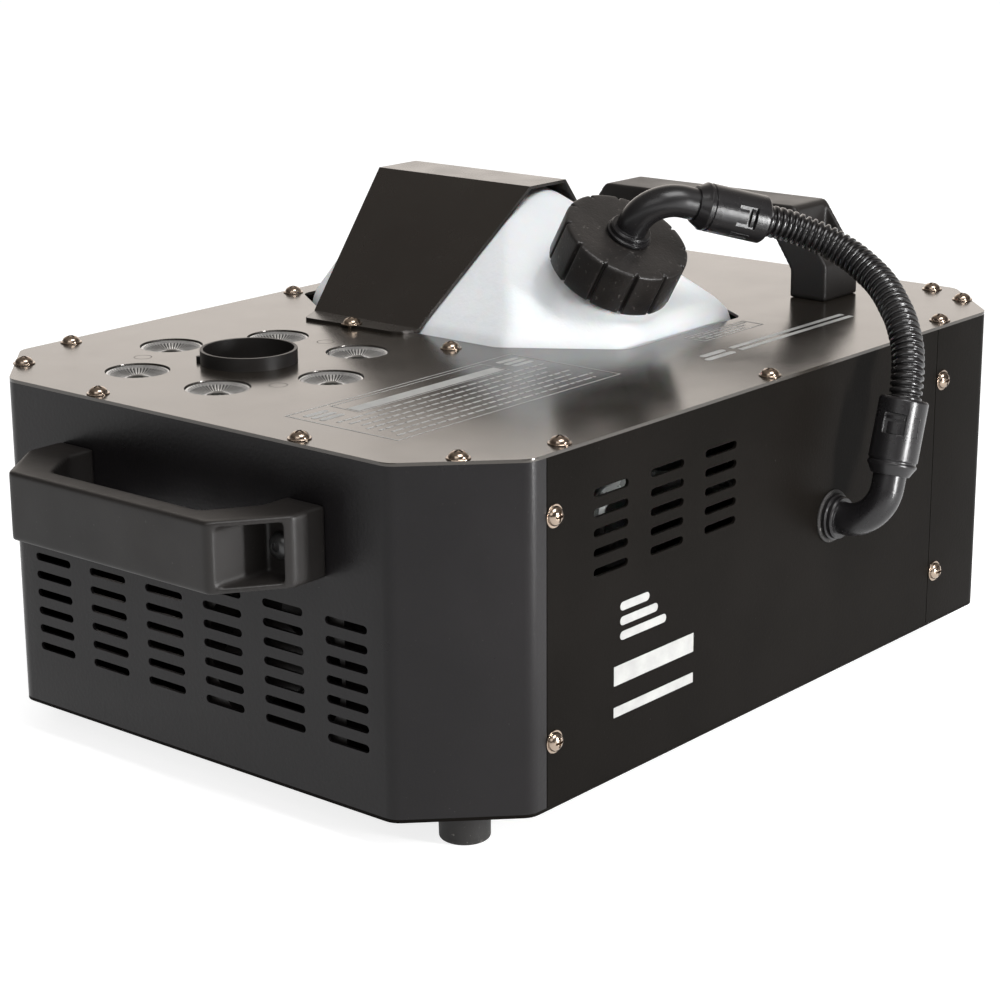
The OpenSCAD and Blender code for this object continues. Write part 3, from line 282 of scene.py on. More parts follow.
WOOL = finish(
    "ceramic_wool", ((0.70, 0.66, 0.58), (0.80, 0.76, 0.68)), (0.85, 0.95),
    [(600, 0.0008, 4.0)], tone_scale=60, Specular_IOR=0.2,
)
SILVER = finish(
    "led_reflector", ((0.46, 0.47, 0.48), (0.60, 0.61, 0.62)), (0.10, 0.16),
    [(800, 0.00003, 2.0)], tone_scale=200, Metallic=0.9,
)
# Dark finish of the LED cores, also carrying the painted dark reflections over the reflectors
LENS = finish(
    "led_core", ((0.012, 0.012, 0.010), (0.03, 0.03, 0.026)), (0.08, 0.14),
    [(300, 0.00003, 2.0)], tone_scale=300, Specular_IOR=0.35,
)
BOARD = finish(
    "circuit_board", ((0.015, 0.09, 0.03), (0.025, 0.13, 0.045)), (0.3, 0.42),
    [(500, 0.00008, 3.0)], tone_scale=160, marks=((0.5, 0.38, 0.16), 500, 0.64, 0.8),
)
WHITE_BOARD = finish(
    "white_board", ((0.72, 0.74, 0.72), (0.8, 0.81, 0.8)), (0.35, 0.5), [(500, 0.00004, 2.0)],
)
GLASS = finish(
    "display_glass", ((0.004, 0.008, 0.012), (0.006, 0.012, 0.018)), (0.05, 0.1),
    [(60, 0.00002, 1.0)], Specular_IOR=0.6,
)
BUTTON = finish(
    "button_rubber", ((0.05, 0.05, 0.055), (0.065, 0.065, 0.07)), (0.5, 0.65),
    [(1600, 0.00005, 2.0)], Specular_IOR=0.4,
)
RED = finish(
    "rocker_red", ((0.45, 0.015, 0.010), (0.55, 0.025, 0.015)), (0.16, 0.26),
    [(400, 0.00003, 2.0)], Specular_IOR=0.5,
)
NICKEL = finish(
    "dark_nickel", ((0.10, 0.10, 0.105), (0.14, 0.14, 0.145)), (0.25, 0.4),
    [(500, 0.00004, 2.0)], tone_scale=80, Metallic=0.9,
)
INK = finish(
    "white_ink", ((0.27, 0.27, 0.265), (0.32, 0.32, 0.31)), (0.45, 0.6),
    [(1500, 0.00003, 2.0)], tone_scale=120, Specular_IOR=0.3,
)

# The black powder coat slot takes the shaded copy, which is painted shade
BY_SLOT = {
    "black_powder_coat": COAT_SHADED, "black_plastic": PLASTIC, "glossy_black_plastic": GLOSSY, "hose_plastic": HOSE,
    "black_rubber": RUBBER, "bronze_screw": BRONZE, "black_screw": BLACK_STEEL, "zinc_steel": ZINC,
    "milky_plastic": MILKY, "clear_tube": CLEAR, "grey_seal": SEAL, "cast_aluminium": CAST, "brass": BRASS,
    "sintered_bronze": SINTER, "stainless": STAINLESS, "ceramic_wool": WOOL, "lens_acrylic": SILVER,
    "circuit_board": BOARD, "white_board": WHITE_BOARD, "display_glass": GLASS, "button_rubber": BUTTON,
    "rocker_red": RED, "socket_metal": NICKEL,
}
SLOT_OF = {row["node"]: row["material_slot"] for row in frame["record"]["subparts"]}
# Parts that take the lit copies of the powder coat, which are painted reflection, and the collar's and the
# cap's own plastics
OWN_FINISH = {
    "top_panel": COAT_DECK_LIT, "tank_bracket": COAT_BRACKET_LIT, "front_cover": COAT_FRONT_LIT, "nozzle_collar": PLASTIC,
    "tank_cap": CAP_PLASTIC,
}
BODY_OF = {node.name: node["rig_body"] for node in NODES.values()}


def finish_of(node):
    return OWN_FINISH.get(node, BY_SLOT[SLOT_OF[node]])


# ---------- mesh helpers ----------
def piece(name, points, faces, material, slot, body="housing", smooth=True):
    mesh = bpy.data.meshes.new(name)
    mesh.from_pydata([tuple(p) for p in points], [], faces)
    mesh.materials.append(material)
    mesh.polygons.foreach_set("use_smooth", [smooth] * len(mesh.polygons))
    mesh.update()
    made = bpy.data.objects.new(name, mesh)
    SCENE.collection.objects.link(made)
    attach(made, body)
    return made


# Faces that meet at more than this angle in degrees have an edge between them
SHARP_ANGLE = 28


def soften(target, width, segments=2, angle=SHARP_ANGLE):
    """Rounds the edges sharper than angle, with flat faces kept flat"""
    bevel = target.modifiers.new("edge_round", "BEVEL")
    bevel.width = width
    bevel.segments = segments
    bevel.limit_method = "ANGLE"
    bevel.angle_limit = math.radians(angle)
    bevel.miter_outer = "MITER_ARC"
    bevel.use_clamp_overlap = True
    bevel.harden_normals = True
    return target


# Sheets with many holes
PERFORATED = ("front_cover", "rear_cover", "near_side_panel", "far_side_panel", "top_panel", "base_pan")
# Metres under which points are one point, metres under which a sliver goes, degrees under which faces join
SAME_POINT = 3e-6
SLIVER = 2e-5
SAME_FACE = 0.6


def merged(node):
    """The CAD node's mesh with its seams closed, as points and faces. Flat faces are joined, but not round
    rows of holes, which one face can't hold."""
    work = bmesh.new()
    work.from_mesh(NODES[node].data)
    bmesh.ops.remove_doubles(work, verts=work.verts, dist=SAME_POINT)
    if node in PERFORATED:
        bmesh.ops.dissolve_degenerate(work, dist=SLIVER, edges=work.edges)
    else:
        limit = math.radians(SAME_FACE)
        bmesh.ops.dissolve_limit(work, angle_limit=limit, verts=work.verts, edges=work.edges)
    work.verts.index_update()
    points = [v.co.copy() for v in work.verts]
    faces = [[v.index for v in f.verts] for f in work.faces]
    work.free()
    return points, faces


def refined(node, width, segments=2, angle=SHARP_ANGLE):
    """A copy of a CAD node with rounded edges, which stands for it"""
    points, faces = merged(node)
    made = piece(node + "_finish", points, faces, finish_of(node), SLOT_OF[node], BODY_OF[node])
    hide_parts(node)
    return soften(made, width * MM, segments, angle)


def baked(source):
    """The mesh that the source's modifiers give, as points and faces; the source goes"""
    bpy.context.view_layer.update()
    result = source.evaluated_get(bpy.context.evaluated_depsgraph_get())
    mesh = result.to_mesh()
    points = [v.co.copy() for v in mesh.vertices]
    faces = [list(p.vertices) for p in mesh.polygons]
    result.to_mesh_clear()
    bpy.data.objects.remove(source)
    return points, faces


# Directions that a folded sheet's flat faces look in: up and down, the four sides and the corner facets
SHEET_NORMALS = [
    Vector(d).normalized() for d in (
        (0, 0, 1), (0, 0, -1), (1, 0, 0), (-1, 0, 0), (0, 1, 0), (0, -1, 0),
        (1, 1, 0), (1, -1, 0), (-1, 1, 0), (-1, -1, 0),
    )
]
# Cosine of the angle within which a face counts as flat
FLAT = 0.9998


def make_plate(node, width):
    """A folded sheet whose flat faces are shaded flat and whose bends are smooth. Its edges are rounded by a
    width, or stay sharp where the width is 0, as round long rows of vents."""
    points, faces = merged(node)
    if width:
        rough = piece(node + "_rough", points, faces, finish_of(node), SLOT_OF[node])
        points, faces = baked(soften(rough, width * MM))
    made = piece(node + "_sheet", points, faces, finish_of(node), SLOT_OF[node], BODY_OF[node])
    for face in made.data.polygons:
        face.use_smooth = not any(face.normal.dot(d) > FLAT for d in SHEET_NORMALS)
    if not width:
        made.data.set_sharp_from_angle(angle=math.radians(SHARP_ANGLE))
    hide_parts(node)


def moulding(name, points, faces, material, slot, voxel, passes):
    """One moulded skin over the mesh, in voxels of a size in metres; the passes round its edges"""
    rough = piece(name + "_rough", points, faces, material, slot)
    remesh = rough.modifiers.new("skin", "REMESH")
    remesh.mode = "VOXEL"
    remesh.voxel_size = voxel
    relax = rough.modifiers.new("relax", "SMOOTH")
    relax.factor = 0.5
    relax.iterations = passes
    points, faces = baked(rough)
    return piece(name + "_moulding", points, faces, material, slot)


def strip_faces(rows, columns):
    """Quads over a grid of points, row after row, each row a closed ring"""
    faces = []
    for r in range(rows - 1):
        low, high = r * columns, (r + 1) * columns
        for c in range(columns):
            after = (c + 1) % columns
            faces.append([low + c, low + after, high + after, high + c])
    return faces


def end_faces(count, columns):
    """Faces that close the first and the last ring of a grid of count points"""
    return [list(range(columns))[::-1], [count - columns + c for c in range(columns)]]


def even_turns(columns):
    return [math.tau * c / columns for c in range(columns)]


def lathe(profile, turns, place, shape=None):
    """Points and faces of a turned profile of (radius, height) in millimetres, placed by a matrix.
    shape(radius, height, angle) may change a point's radius and height."""
    points = []
    for radius, height in profile:
        for a in turns:
            r, h = shape(radius, height, a) if shape else (radius, height)
            points.append(place @ (Vector((r * math.cos(a), r * math.sin(a), h)) * MM))
    return points, strip_faces(len(profile), len(turns))


def joined(parts):
    points, faces = [], []
    for some_points, some_faces in parts:
        start = len(points)
        points += some_points
        faces += [[i + start for i in f] for f in some_faces]
    return points, faces


# ---------- hose ----------
# Route from the cap's connector to the side's, in metres
HOSE_ROUTE = [
    (0.0800, -0.0915, 0.2205), (0.0845, -0.0945, 0.2190), (0.0910, -0.0995, 0.2170),
    (0.0965, -0.1045, 0.2145), (0.1010, -0.1110, 0.2115), (0.1045, -0.1175, 0.2085),
    (0.1065, -0.1245, 0.2050), (0.1070, -0.1315, 0.2015), (0.1065, -0.1385, 0.1975),
    (0.1050, -0.1455, 0.1935), (0.1025, -0.1520, 0.1890), (0.0995, -0.1575, 0.1845),
    (0.0960, -0.1630, 0.1800), (0.0920, -0.1680, 0.1745), (0.0885, -0.1720, 0.1685),
    (0.0845, -0.1750, 0.1625), (0.0810, -0.1770, 0.1555), (0.0780, -0.1780, 0.1480),
    (0.0765, -0.1780, 0.1420),
]
HOSE_SIDES = 48
# Crest and root radius of the corrugations in millimetres
HOSE_RADIUS = 7.5
HOSE_ROOT = 6.2
# One corrugation: share of the pitch, radius in millimetres
CORRUGATION = (
    (0.0, HOSE_ROOT), (0.22, HOSE_ROOT), (0.30, 6.9), (0.38, 7.4),
    (0.46, HOSE_RADIUS), (0.76, HOSE_RADIUS), (0.84, 7.4), (0.92, 6.9),
)
CORRUGATION_PITCH = 0.0031


def smooth_line(points, per_span=12):
    """Catmull-Rom line through the points"""
    ends = [2 * points[0] - points[1], *points, 2 * points[-1] - points[-2]]
    line = []
    for a, b, c, d in zip(ends, ends[1:], ends[2:], ends[3:]):
        for k in range(per_span):
            t = k / per_span
            square, cube = 2 * a - 5 * b + 4 * c - d, 3 * b - a - 3 * c + d
            line.append(0.5 * (2 * b + (c - a) * t + square * t * t + cube * t**3))
    return line + [points[-1]]


def along(line, wanted):
    """Points at the wanted distances along the line"""
    marks = [0.0]
    for p, q in zip(line, line[1:]):
        marks.append(marks[-1] + (q - p).length)
    found, i = [], 0
    for s in wanted:
        while i < len(marks) - 2 and marks[i + 1] < s:
            i += 1
        found.append(line[i].lerp(line[i + 1], (s - marks[i]) / (marks[i + 1] - marks[i])))
    return found, marks[-1]


def make_hose():
    """Rings of the corrugations along the route; their start direction turns with the hose"""
    line = smooth_line([Vector(p) for p in HOSE_ROUTE])
    length = along(line, [0.0])[1]
    stations = []
    for k in range(int(length / CORRUGATION_PITCH)):
        stations += [((k + share) * CORRUGATION_PITCH, radius) for share, radius in CORRUGATION]
    places, _ = along(line, [s for s, _ in stations])
    points = []
    across = None
    for i, (place, (_, radius)) in enumerate(zip(places, stations)):
        ahead = (places[min(i + 3, len(places) - 1)] - places[max(i - 3, 0)]).normalized()
        across = ahead.orthogonal() if across is None else across - ahead * across.dot(ahead)
        across.normalize()
        other = ahead.cross(across)
        for a in even_turns(HOSE_SIDES):
            points.append(place + (across * math.cos(a) + other * math.sin(a)) * radius * MM)
    faces = strip_faces(len(stations), HOSE_SIDES) + end_faces(len(points), HOSE_SIDES)
    made = piece("corrugated_hose", points, faces, HOSE, "hose_plastic")
    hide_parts("hose")
    return made, [tuple(p) for p in line]


hose, hose_line = make_hose()

# ---------- fittings of the hose ----------
# The cap's frame: its origin at the top face, its Z along the tilted axis
CAP = (
    Matrix.Translation(at(20, -50, 198))
    @ Matrix.Rotation(math.radians(261), 4, "Z")
    @ Matrix.Rotation(math.radians(32), 4, "Y")
)
# An elbow's frame: the hose leaves along X, at the elbow's reach over the origin
ELBOW_REACH = 24.8
SHOULDER = 23.4
CONNECTOR_LENGTH = 35.0
WINDOW_CENTRE = SHOULDER + CONNECTOR_LENGTH - 12.0
UPPER_ELBOW = CAP @ Matrix.Rotation(math.radians(61), 4, "Z")
LOWER_ELBOW = (
    Matrix.Translation(at(41, NEAR_WALL - 1, 77))
    @ Matrix.Rotation(math.radians(90), 4, "X")
    @ Matrix.Rotation(math.radians(73), 4, "Z")
)


def bent_plate(place, x0, x1, r0, r1, low, high, steps=8):
    """Closed plate bent round the elbow frame's hose axis, from angle low to high, 90 being outwards"""
    points = []
    for i in range(steps + 1):
        a = math.radians(low + (high - low) * i / steps)
        for x, r in ((x0, r0), (x1, r0), (x1, r1), (x0, r1)):
            points.append(place @ (Vector((x, r * math.cos(a), ELBOW_REACH + r * math.sin(a))) * MM))
    return points, strip_faces(steps + 1, 4) + end_faces(len(points), 4)


# Radii in millimetres from the hose's axis: a latch's underside, its tongue and rib, the raised frames
LATCH_UNDER = 8.2
TONGUE_TOP = 9.7
RIB_TOP = 10.6
FRAME_RADII = (10.9, 11.42)
# Degrees round the hose: half a latch, from a latch to its frame, half the frame inside and outside
LATCH_HALF = 24
FRAME_TURN = 55
FRAME_INSIDE = 6.5
FRAME_OUTSIDE = 9
FRAME_LINE = 0.6


def make_latches(name, place, turn):
    """Latch tongue and rib in both windows of a connector, and a raised frame beside each"""
    parts = []
    for face in (turn, turn + 180):
        span = (face - LATCH_HALF, face + LATCH_HALF)
        tongue = (WINDOW_CENTRE - 4.7, WINDOW_CENTRE + 0.7)
        rib = (WINDOW_CENTRE + 2.0, WINDOW_CENTRE + 3.6)
        parts.append(bent_plate(place, *tongue, LATCH_UNDER, TONGUE_TOP, *span))
        parts.append(bent_plate(place, *rib, LATCH_UNDER, RIB_TOP, *span))
        side = face + FRAME_TURN
        low, high = WINDOW_CENTRE - 5.5, WINDOW_CENTRE + 4.0
        inside = (side - FRAME_INSIDE, side + FRAME_INSIDE)
        parts.append(bent_plate(place, low, high, *FRAME_RADII, side - FRAME_OUTSIDE, inside[0], 2))
        parts.append(bent_plate(place, low, high, *FRAME_RADII, inside[1], side + FRAME_OUTSIDE, 2))
        parts.append(bent_plate(place, low, low + FRAME_LINE, *FRAME_RADII, *inside, 4))
        parts.append(bent_plate(place, high - FRAME_LINE, high, *FRAME_RADII, *inside, 4))
    made = piece(name, *joined(parts), GLOSSY, "glossy_black_plastic")
    return soften(made, 0.15 * MM, 2, 40)


MOULDED_FITTINGS = ("cap_elbow", "upper_connector", "lower_connector", "wall_elbow")
fittings = [refined(node, 0.35, 2, 24) for node in MOULDED_FITTINGS]
fittings.append(refined("wall_grommet", 0.4, 3))
fittings.append(make_latches("upper_latches", UPPER_ELBOW, 150))
fittings.append(make_latches("lower_latches", LOWER_ELBOW, 16))


# ---------- cap ----------
PADS = 12
PAD_SPACING = 360 / PADS
PAD_RADIUS = 30.4
GROOVE_RADIUS = 28.7
GROOVED_FROM = 27
# Half a pad in degrees from the groove's centre: angle, share of the way out from groove to pad
PAD_SHAPE = ((0, 0.0), (1.3, 0.0), (1.7, 0.45), (2.1, 0.9), (2.8, 0.99), (4.0, 1.0), (9.0, 1.0), (15.0, 1.0))


def pad_share(angle):
    """Share of the way out from groove to pad at an angle round the cap"""
    a = (math.degrees(angle) + 360) % PAD_SPACING
    a = min(a, PAD_SPACING - a)
    for (a0, s0), (a1, s1) in zip(PAD_SHAPE, PAD_SHAPE[1:]):
        if a <= a1:
            return s0 + (s1 - s0) * (a - a0) / (a1 - a0)
    return 1.0


def make_cap():
    """Turned profile of (radius, height) in millimetres, with a groove before each pad"""
    depth = PAD_RADIUS - GROOVE_RADIUS
    profile = [(5.8, -3.0), (5.8, 0.0), (9.0, 0.0), (16.0, 0.0), (22.0, -0.02), (26.2, -0.05)]
    edge = [(-1.5, -0.08), (-0.9, -0.2), (-0.42, -0.5), (-0.12, -0.95), (0, -1.6), (0, -2.6), (0, -12.0)]
    edge += [(0, -21.9), (-0.2, -22.5), (-0.7, -23.0)]
    profile += [(PAD_RADIUS + r, z) for r, z in edge]
    profile += [(24.4, -23.0), (24.4, -14.0)]

    def shape(radius, height, angle):
        if radius < GROOVED_FROM:
            return radius, height
        return radius - depth * (1 - pad_share(angle)), height

    around = sorted({a % 30 for share in PAD_SHAPE for a in (share[0], -share[0])})
    turns = [math.radians(30 * k + a) for k in range(PADS) for a in around]
    points, faces = lathe(profile, turns, CAP, shape)
    made = piece("cap_body", points, faces, CAP_PLASTIC, "black_plastic", "cap")
    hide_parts("tank_cap")


make_cap()


# ---------- tank ----------
# Corner cut of the deck's opening along X and Y, in millimetres
OPENING_CUT = (34.0, 50.0)
# Height, x limits, y limits, share of the corner cut, corner radius
TANK_SECTIONS = (
    (60, -24, 114, -56, 130, 0.80, 12),
    (62, -28, 118, -60, 134, 0.85, 13),
    (69, -31, 121, -63, 137, 0.92, 14),
    (147, -31, 121, -63, 137, 0.92, 14),
    (153, -28, 118.5, -61.8, 136, 0.90, 13),
    (159, -22.2, 112.2, -58, 133.5, 0.86, 12),
    (180, -0.8, 89.4, -27.5, 124.5, 0.66, 9),
    (203, 22.4, 64.8, 5.5, 114.5, 0.38, 6),
    (207.5, 27.4, 59, 12.5, 111, 0.32, 5),
    (209.8, 32, 53.5, 19, 106, 0.26, 4),
    (210.8, 37, 47, 28, 97, 0.12, 1.5),
)


def rounded(corners, radius, steps=4):
    """Outline with each corner replaced by an arc"""
    outline = []
    for before, corner, after in zip(corners[-1:] + corners[:-1], corners, corners[1:] + corners[:1]):
        a, b = (before - corner).normalized(), (after - corner).normalized()
        half = a.angle(b) / 2
        centre = corner + (a + b).normalized() * radius / math.sin(half)
        start = corner + a * radius / math.tan(half) - centre
        stop = corner + b * radius / math.tan(half) - centre
        first = math.atan2(start.y, start.x)
        sweep = (math.atan2(stop.y, stop.x) - first + 3 * math.pi) % math.tau - math.pi
        for i in range(steps + 1):
            t = first + sweep * i / steps
            outline.append(centre + radius * Vector((math.cos(t), math.sin(t))))
    return outline


def tank_ring(section):
    height, x0, x1, y0, y1, share, radius = section
    cx, cy = OPENING_CUT[0] * share, OPENING_CUT[1] * share
    corners = [
        (x1, y0 + cy), (x1, y1 - cy), (x1 - cx, y1), (x0 + cx, y1),
        (x0, y1 - cy), (x0, y0 + cy), (x0 + cx, y0), (x1 - cx, y0),
    ]
    return [at(p.x, p.y, height) for p in rounded([Vector(c) for c in corners], radius)]


def make_tank():
    """The octagonal body and the neck with its flared foot, as one blow moulding"""
    rings = [tank_ring(s) for s in TANK_SECTIONS]
    columns = len(rings[0])
    shell = [p for ring in rings for p in ring]
    faces = strip_faces(len(rings), columns) + end_faces(len(shell), columns)
    neck_profile = [(0.01, -50), (36, -50), (34, -46), (26.5, -26), (23.6, -25.5), (23.6, -4.8), (0.01, -4.8)]
    neck = lathe(neck_profile, even_turns(64), CAP)
    made = moulding("tank", *joined([(shell, faces), neck]), MILKY, "milky_plastic", voxel=0.0015, passes=9)
    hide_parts("tank", "tank_dome", "tank_neck")


make_tank()


# ---------- LEDs ----------
NOZZLE = (-125.0, 53.5)
LEDS = 6
LED_RING = 51.0
FLUTES = 48
FLUTE_DEPTH = 0.3
CORE_SIDES = 32


def painted_streak_ribs(place, bowl):
    """Thin dark ribs over a bowl's profile, from its centre out, that show in the flutes' dips as painted
    dark reflections
    """
    parts = []
    for k in range(FLUTES):
        turn = place @ Matrix.Rotation(math.tau * (k + 0.5) / FLUTES, 4, "Z")
        points = []
        for radius, height in bowl:
            half = 0.05 + 0.016 * radius
            for y, z in ((-half, -0.3), (-half, 0.02), (half, 0.02), (half, -0.3)):
                points.append(turn @ (Vector((radius, y, height + z)) * MM))
        parts.append((points, strip_faces(len(bowl), 4) + end_faces(len(points), 4)))
    return joined(parts)


def make_leds():
    """Clear moulded lenses: a shallow fluted bowl just under the deck, with a dark core and painted dark
    reflections in its flutes
    """
    bowls, darks = [], []
    slope = [(13.0 - 0.9 * i, 148.7 - 2.3 * math.sin(math.radians(8 * i))) for i in range(11)]
    bowl = [(14.2, 147.0), (14.2, 149.1), (13.9, 149.2), (13.5, 149.1), *slope]
    core = [(5.0, 146.3), (4.9, 146.75), (3.4, 146.7), (3.1, 147.3), (2.2, 147.9)]
    core += [(1.0, 148.15), (0.01, 148.2)]

    def fluted(radius, height, angle):
        depth = FLUTE_DEPTH * min(1.0, max(0.0, (radius - 3.6) / 6)) * (radius < 13.3)
        return radius, height - depth * abs(math.sin(angle * FLUTES / 2))

    for k in range(LEDS):
        turn = math.radians(90 + 360 / LEDS * k)
        x, y = NOZZLE[0] + LED_RING * math.cos(turn), NOZZLE[1] + LED_RING * math.sin(turn)
        place = Matrix.Translation(at(x, y, 0))
        bowls.append(lathe(bowl, even_turns(FLUTES * 8), place, fluted))
        darks.append(lathe(core, even_turns(CORE_SIDES), place))
        # Dark ribs over the slope: painted dark reflections in the flutes
        darks.append(painted_streak_ribs(place, [(r, h - 0.14) for r, h in slope if r < 12.9]))
    reflector = piece("led_reflectors", *joined(bowls), SILVER, "lens_acrylic")
    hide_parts("led_lenses")
    piece("led_cores_and_painted_streaks", *joined(darks), LENS, "lens_acrylic")


make_leds()


# ---------- printed marks ----------
# How far the ink stands out of the sheet and reaches into it, in millimetres
INK_THICK = 0.09
INK_SUNK = 0.03


def stadium(x0, y0, x1, y1, steps=8):
    """Bar with round ends, as an anticlockwise outline"""
    radius = (y1 - y0) / 2
    middle = (y0 + y1) / 2
    points = []
    for x, first in ((x1 - radius, -90), (x0 + radius, 90)):
        for i in range(steps + 1):
            a = math.radians(first + 180 * i / steps)
            points.append((x + radius * math.cos(a), middle + radius * math.sin(a)))
    return points


def bar(x0, y0, x1, y1):
    return [(x0, y0), (x1, y0), (x1, y1), (x0, y1)]


def border(x0, y0, x1, y1, line):
    """Four bars round a rectangle, as wide as the line"""
    return [
        bar(x0, y0, x1, y0 + line), bar(x0, y1 - line, x1, y1),
        bar(x0, y0 + line, x0 + line, y1 - line), bar(x1 - line, y0 + line, x1, y1 - line),
    ]


def printed(name, shapes, lift):
    """Thin closed plates; lift(u, v, height) puts a point of the drawing in the row frame"""
    parts = []
    for shape in shapes:
        n = len(shape)
        points = [lift(u, v, h) for h in (-INK_SUNK, INK_THICK) for u, v in shape]
        parts.append((points, strip_faces(2, n) + end_faces(2 * n, n)))
    piece(name, *joined(parts), INK, "black_powder_coat", smooth=False)


def on_deck(u, v, height):
    return at(u, v, DECK + height)


def on_near_side(u, v, height):
    return at(u, NEAR_WALL - height, v)


def text_lines(x0, x1, y_top, count, pitch, thick):
    """Rows of short plain bars in place of small print, with an even ragged end"""
    shapes = []
    for k in range(count):
        y = y_top - k * pitch
        x = x0 + (k % 3) * 1.5
        end = x1 - ((k * 7) % 5) * 2.4
        step = 0
        while x < end:
            width = 3.0 + ((step * 5 + k * 3) % 4) * 1.3
            shapes.append(bar(x, y - thick, min(x + width, end), y))
            x += width + 1.1
            step += 1
    return shapes


def make_prints():
    """Plain bars where the deck and the near side have printing, in millimetres from the housing's centre:
    along X and Y on the deck, along X and up on the side"""
    deck = border(-187, -93, -41, -30, 0.55)
    deck += border(-163, -49.5, -65, -33, 0.45)
    deck.append(bar(-161.5, -48, -66.5, -41.2))
    for x in (-176, -52.5):
        deck += [stadium(x - 7, -48 + 4.6 * k, x + 7, -45 + 4.6 * k) for k in range(3)]
    deck += text_lines(-181, -47, -53.5, 7, 5.5, 1.3)
    deck += border(35, -84, 83, -72, 0.5)
    deck += text_lines(37, 81, -74, 3, 3.2, 1.2)
    deck += [stadium(4, -108.5, 26, -105), stadium(8, -103, 26, -99.5)]
    deck += [bar(31, -108, 125, -105.2), bar(31, -102.6, 125, -99.8)]
    printed("deck_print", deck, on_deck)
    side = [stadium(-118, 60 + 6.4 * k, -86 - 6 * k, 63.8 + 6.4 * k) for k in range(3)]
    side += [bar(-122, 41, -66, 49.5), bar(-122, 27, -66, 31.5)]
    printed("side_print", side, on_near_side)


make_prints()


# ---------- handles ----------
for handle in ("front_handle", "rear_handle"):
    made = moulding(handle, *merged(handle), PLASTIC, SLOT_OF[handle], voxel=0.0009, passes=5)
    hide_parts(handle)


# ---------- the other pieces ----------
# Width of the rounded edges in millimetres
EDGE = {
    "top_panel": 0.35, "front_cover": 0, "rear_cover": 0, "near_side_panel": 0, "far_side_panel": 0,
    "base_pan": 0.3, "tank_bracket": 0.35, "nozzle_collar": 0.35,
    "panel_screws": 0.16, "handle_screws": 0.25, "rubber_feet": 0.5, "foot_screws": 0.2, "led_bezels": 0.3,
    "control_bezel": 0.5, "display_window": 0.3, "mains_inlet": 0.4, "power_switch_frame": 0.3,
    "power_rocker": 0.4, "fuse_holder": 0.3, "fuse_cap": 0.3, "data_sockets": 0.3, "socket_latch": 0.3,
    "menu_button_1": 0.4, "menu_button_2": 0.4, "menu_button_3": 0.4, "menu_button_4": 0.4, "jet_nozzle": 0.3,
    "tank_shelf": 0.3,
}
for name, width in EDGE.items():
    if name in PERFORATED:
        make_plate(name, width)
    else:
        refined(name, width)

for name, node in NODES.items():
    node.data.materials.clear()
    node.data.materials.append(finish_of(name))


# ---------- room ----------
FLOOR_RADIUS = 9.0
FLOOR_SIDES = 64


def make_room():
    """A round floor of pale paper that shows only the object's soft shadow"""
    mesh = bpy.data.meshes.new("floor")
    ring = [(FLOOR_RADIUS * math.cos(a), FLOOR_RADIUS * math.sin(a), 0) for a in even_turns(FLOOR_SIDES)]
    mesh.from_pydata(ring, [], [list(range(FLOOR_SIDES))])
    floor = bpy.data.objects.new("floor", mesh)
    SCENE.collection.objects.link(floor)
    surface = finish(
        "floor_paper", ((0.46, 0.46, 0.46), (0.48, 0.48, 0.48)), (0.85, 0.95), [(200, 0.00002, 2.0)],
        tone_scale=3, Specular_IOR=0.1, Emission_Color=(1, 1, 1, 1), Emission_Strength=0.82,
    )
    mesh.materials.append(surface)


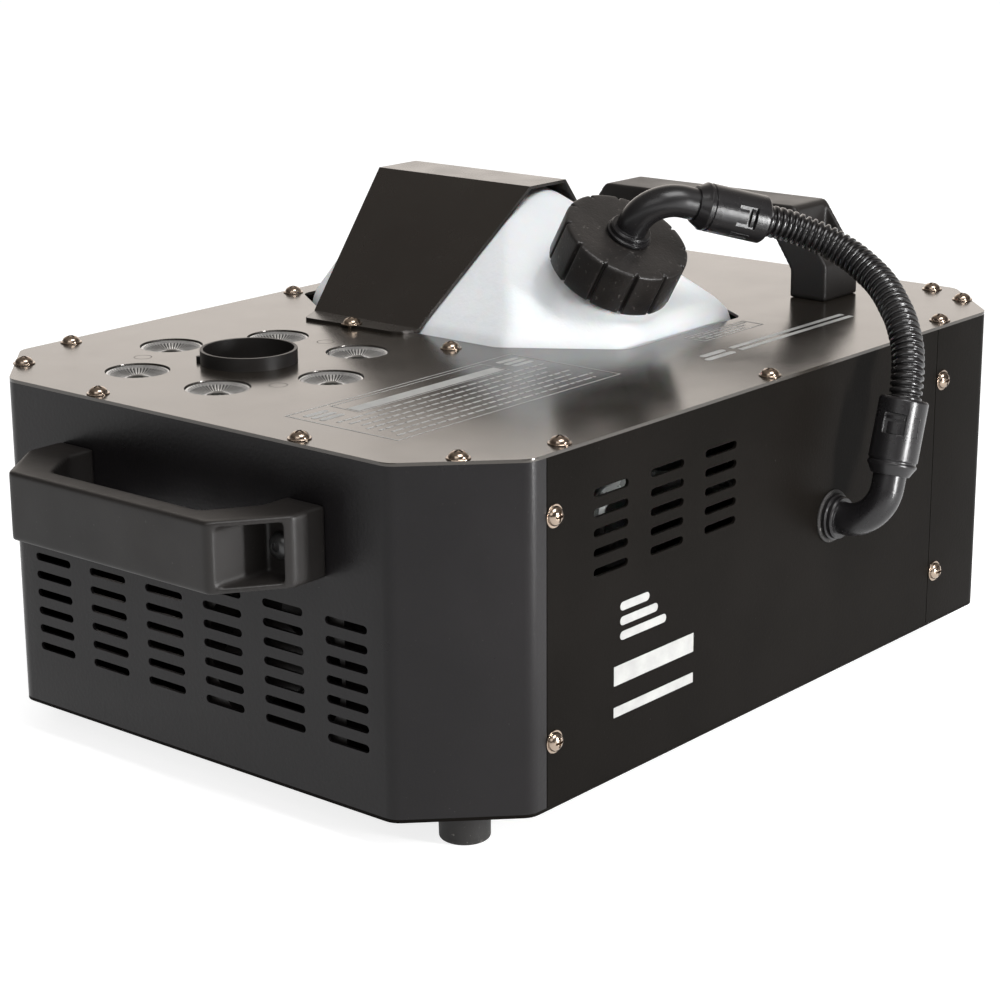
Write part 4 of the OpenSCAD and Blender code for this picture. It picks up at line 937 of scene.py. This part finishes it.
def make_world():
    """Soft surroundings: bright behind the object and overhead, dim behind the camera. Reflections see them
    a little warm, and the camera sees plain white."""
    world = bpy.data.worlds.new("studio")
    world.use_nodes = True
    SCENE.world = world
    tree = world.node_tree
    place = tree.nodes.new("ShaderNodeTexCoord").outputs["Generated"]

    def facing(direction, stops):
        """From one strength to another as the direction nears: stops are two cosines and two strengths"""
        dot = tree.nodes.new("ShaderNodeVectorMath")
        dot.operation = "DOT_PRODUCT"
        tree.links.new(place, dot.inputs[0])
        dot.inputs[1].default_value = direction
        ramp = tree.nodes.new("ShaderNodeMapRange")
        ramp.interpolation_type = "SMOOTHSTEP"
        tree.links.new(dot.outputs["Value"], ramp.inputs["Value"])
        for socket, value in zip(("From Min", "From Max", "To Min", "To Max"), stops):
            ramp.inputs[socket].default_value = value
        return ramp.outputs["Result"]

    def total(a, b):
        add = tree.nodes.new("ShaderNodeMath")
        tree.links.new(a, add.inputs[0])
        tree.links.new(b, add.inputs[1])
        return add.outputs["Value"]

    behind = facing((0.766, 0.643, 0.0), (0.45, 0.93, 0.12, 1.0))
    overhead = facing((0.0, 0.0, 1.0), (0.25, 0.95, 0.0, 0.2))
    backdrop = facing((0.735, 0.617, 0.28), (0.88, 0.975, 0.0, 0.6))
    strength = total(total(behind, overhead), backdrop)
    glow = tree.nodes["Background"]
    rays = tree.nodes.new("ShaderNodeLightPath").outputs
    tint = tree.nodes.new("ShaderNodeMix")
    tint.data_type = "RGBA"
    tree.links.new(rays["Is Glossy Ray"], tint.inputs[MIX_FACTOR])
    tint.inputs[MIX_FIRST].default_value = (1.0, 1.0, 1.0, 1.0)
    tint.inputs[MIX_SECOND].default_value = (1.0, 0.925, 0.855, 1.0)
    tree.links.new(tint.outputs[MIX_COLOUR], glow.inputs["Color"])
    tree.links.new(strength, glow.inputs["Strength"])
    plain = tree.nodes.new("ShaderNodeBackground")
    plain.inputs["Color"].default_value = (1, 1, 1, 1)
    choose = tree.nodes.new("ShaderNodeMixShader")
    tree.links.new(rays["Is Camera Ray"], choose.inputs["Fac"])
    tree.links.new(glow.outputs["Background"], choose.inputs[1])
    tree.links.new(plain.outputs["Background"], choose.inputs[2])
    tree.links.new(choose.outputs["Shader"], tree.nodes["World Output"].inputs["Surface"])


def area_light(name, azimuth, elevation, distance, width, height, power):
    """Softbox that faces the housing, azimuth anticlockwise from +X as seen from above; metres and watts"""
    a, e = math.radians(azimuth), math.radians(elevation)
    aim = at(0, 0, 100)
    out = Vector((math.cos(a) * math.cos(e), math.sin(a) * math.cos(e), math.sin(e)))
    data = bpy.data.lights.new(name, "AREA")
    data.shape = "RECTANGLE"
    data.size = width
    data.size_y = height
    data.energy = power
    light = bpy.data.objects.new(name, data)
    light.location = aim + out * distance
    light.rotation_euler = out.to_track_quat("Z", "Y").to_euler()
    SCENE.collection.objects.link(light)


make_room()
make_world()
area_light("key", azimuth=-110, elevation=58, distance=1.9, width=1.1, height=0.9, power=32)
area_light("strip", azimuth=-90, elevation=4, distance=0.68, width=0.07, height=0.26, power=5)
area_light("fill", azimuth=-160, elevation=30, distance=2.2, width=1.4, height=1.0, power=8)
SCENE.view_settings.view_transform = "Standard"
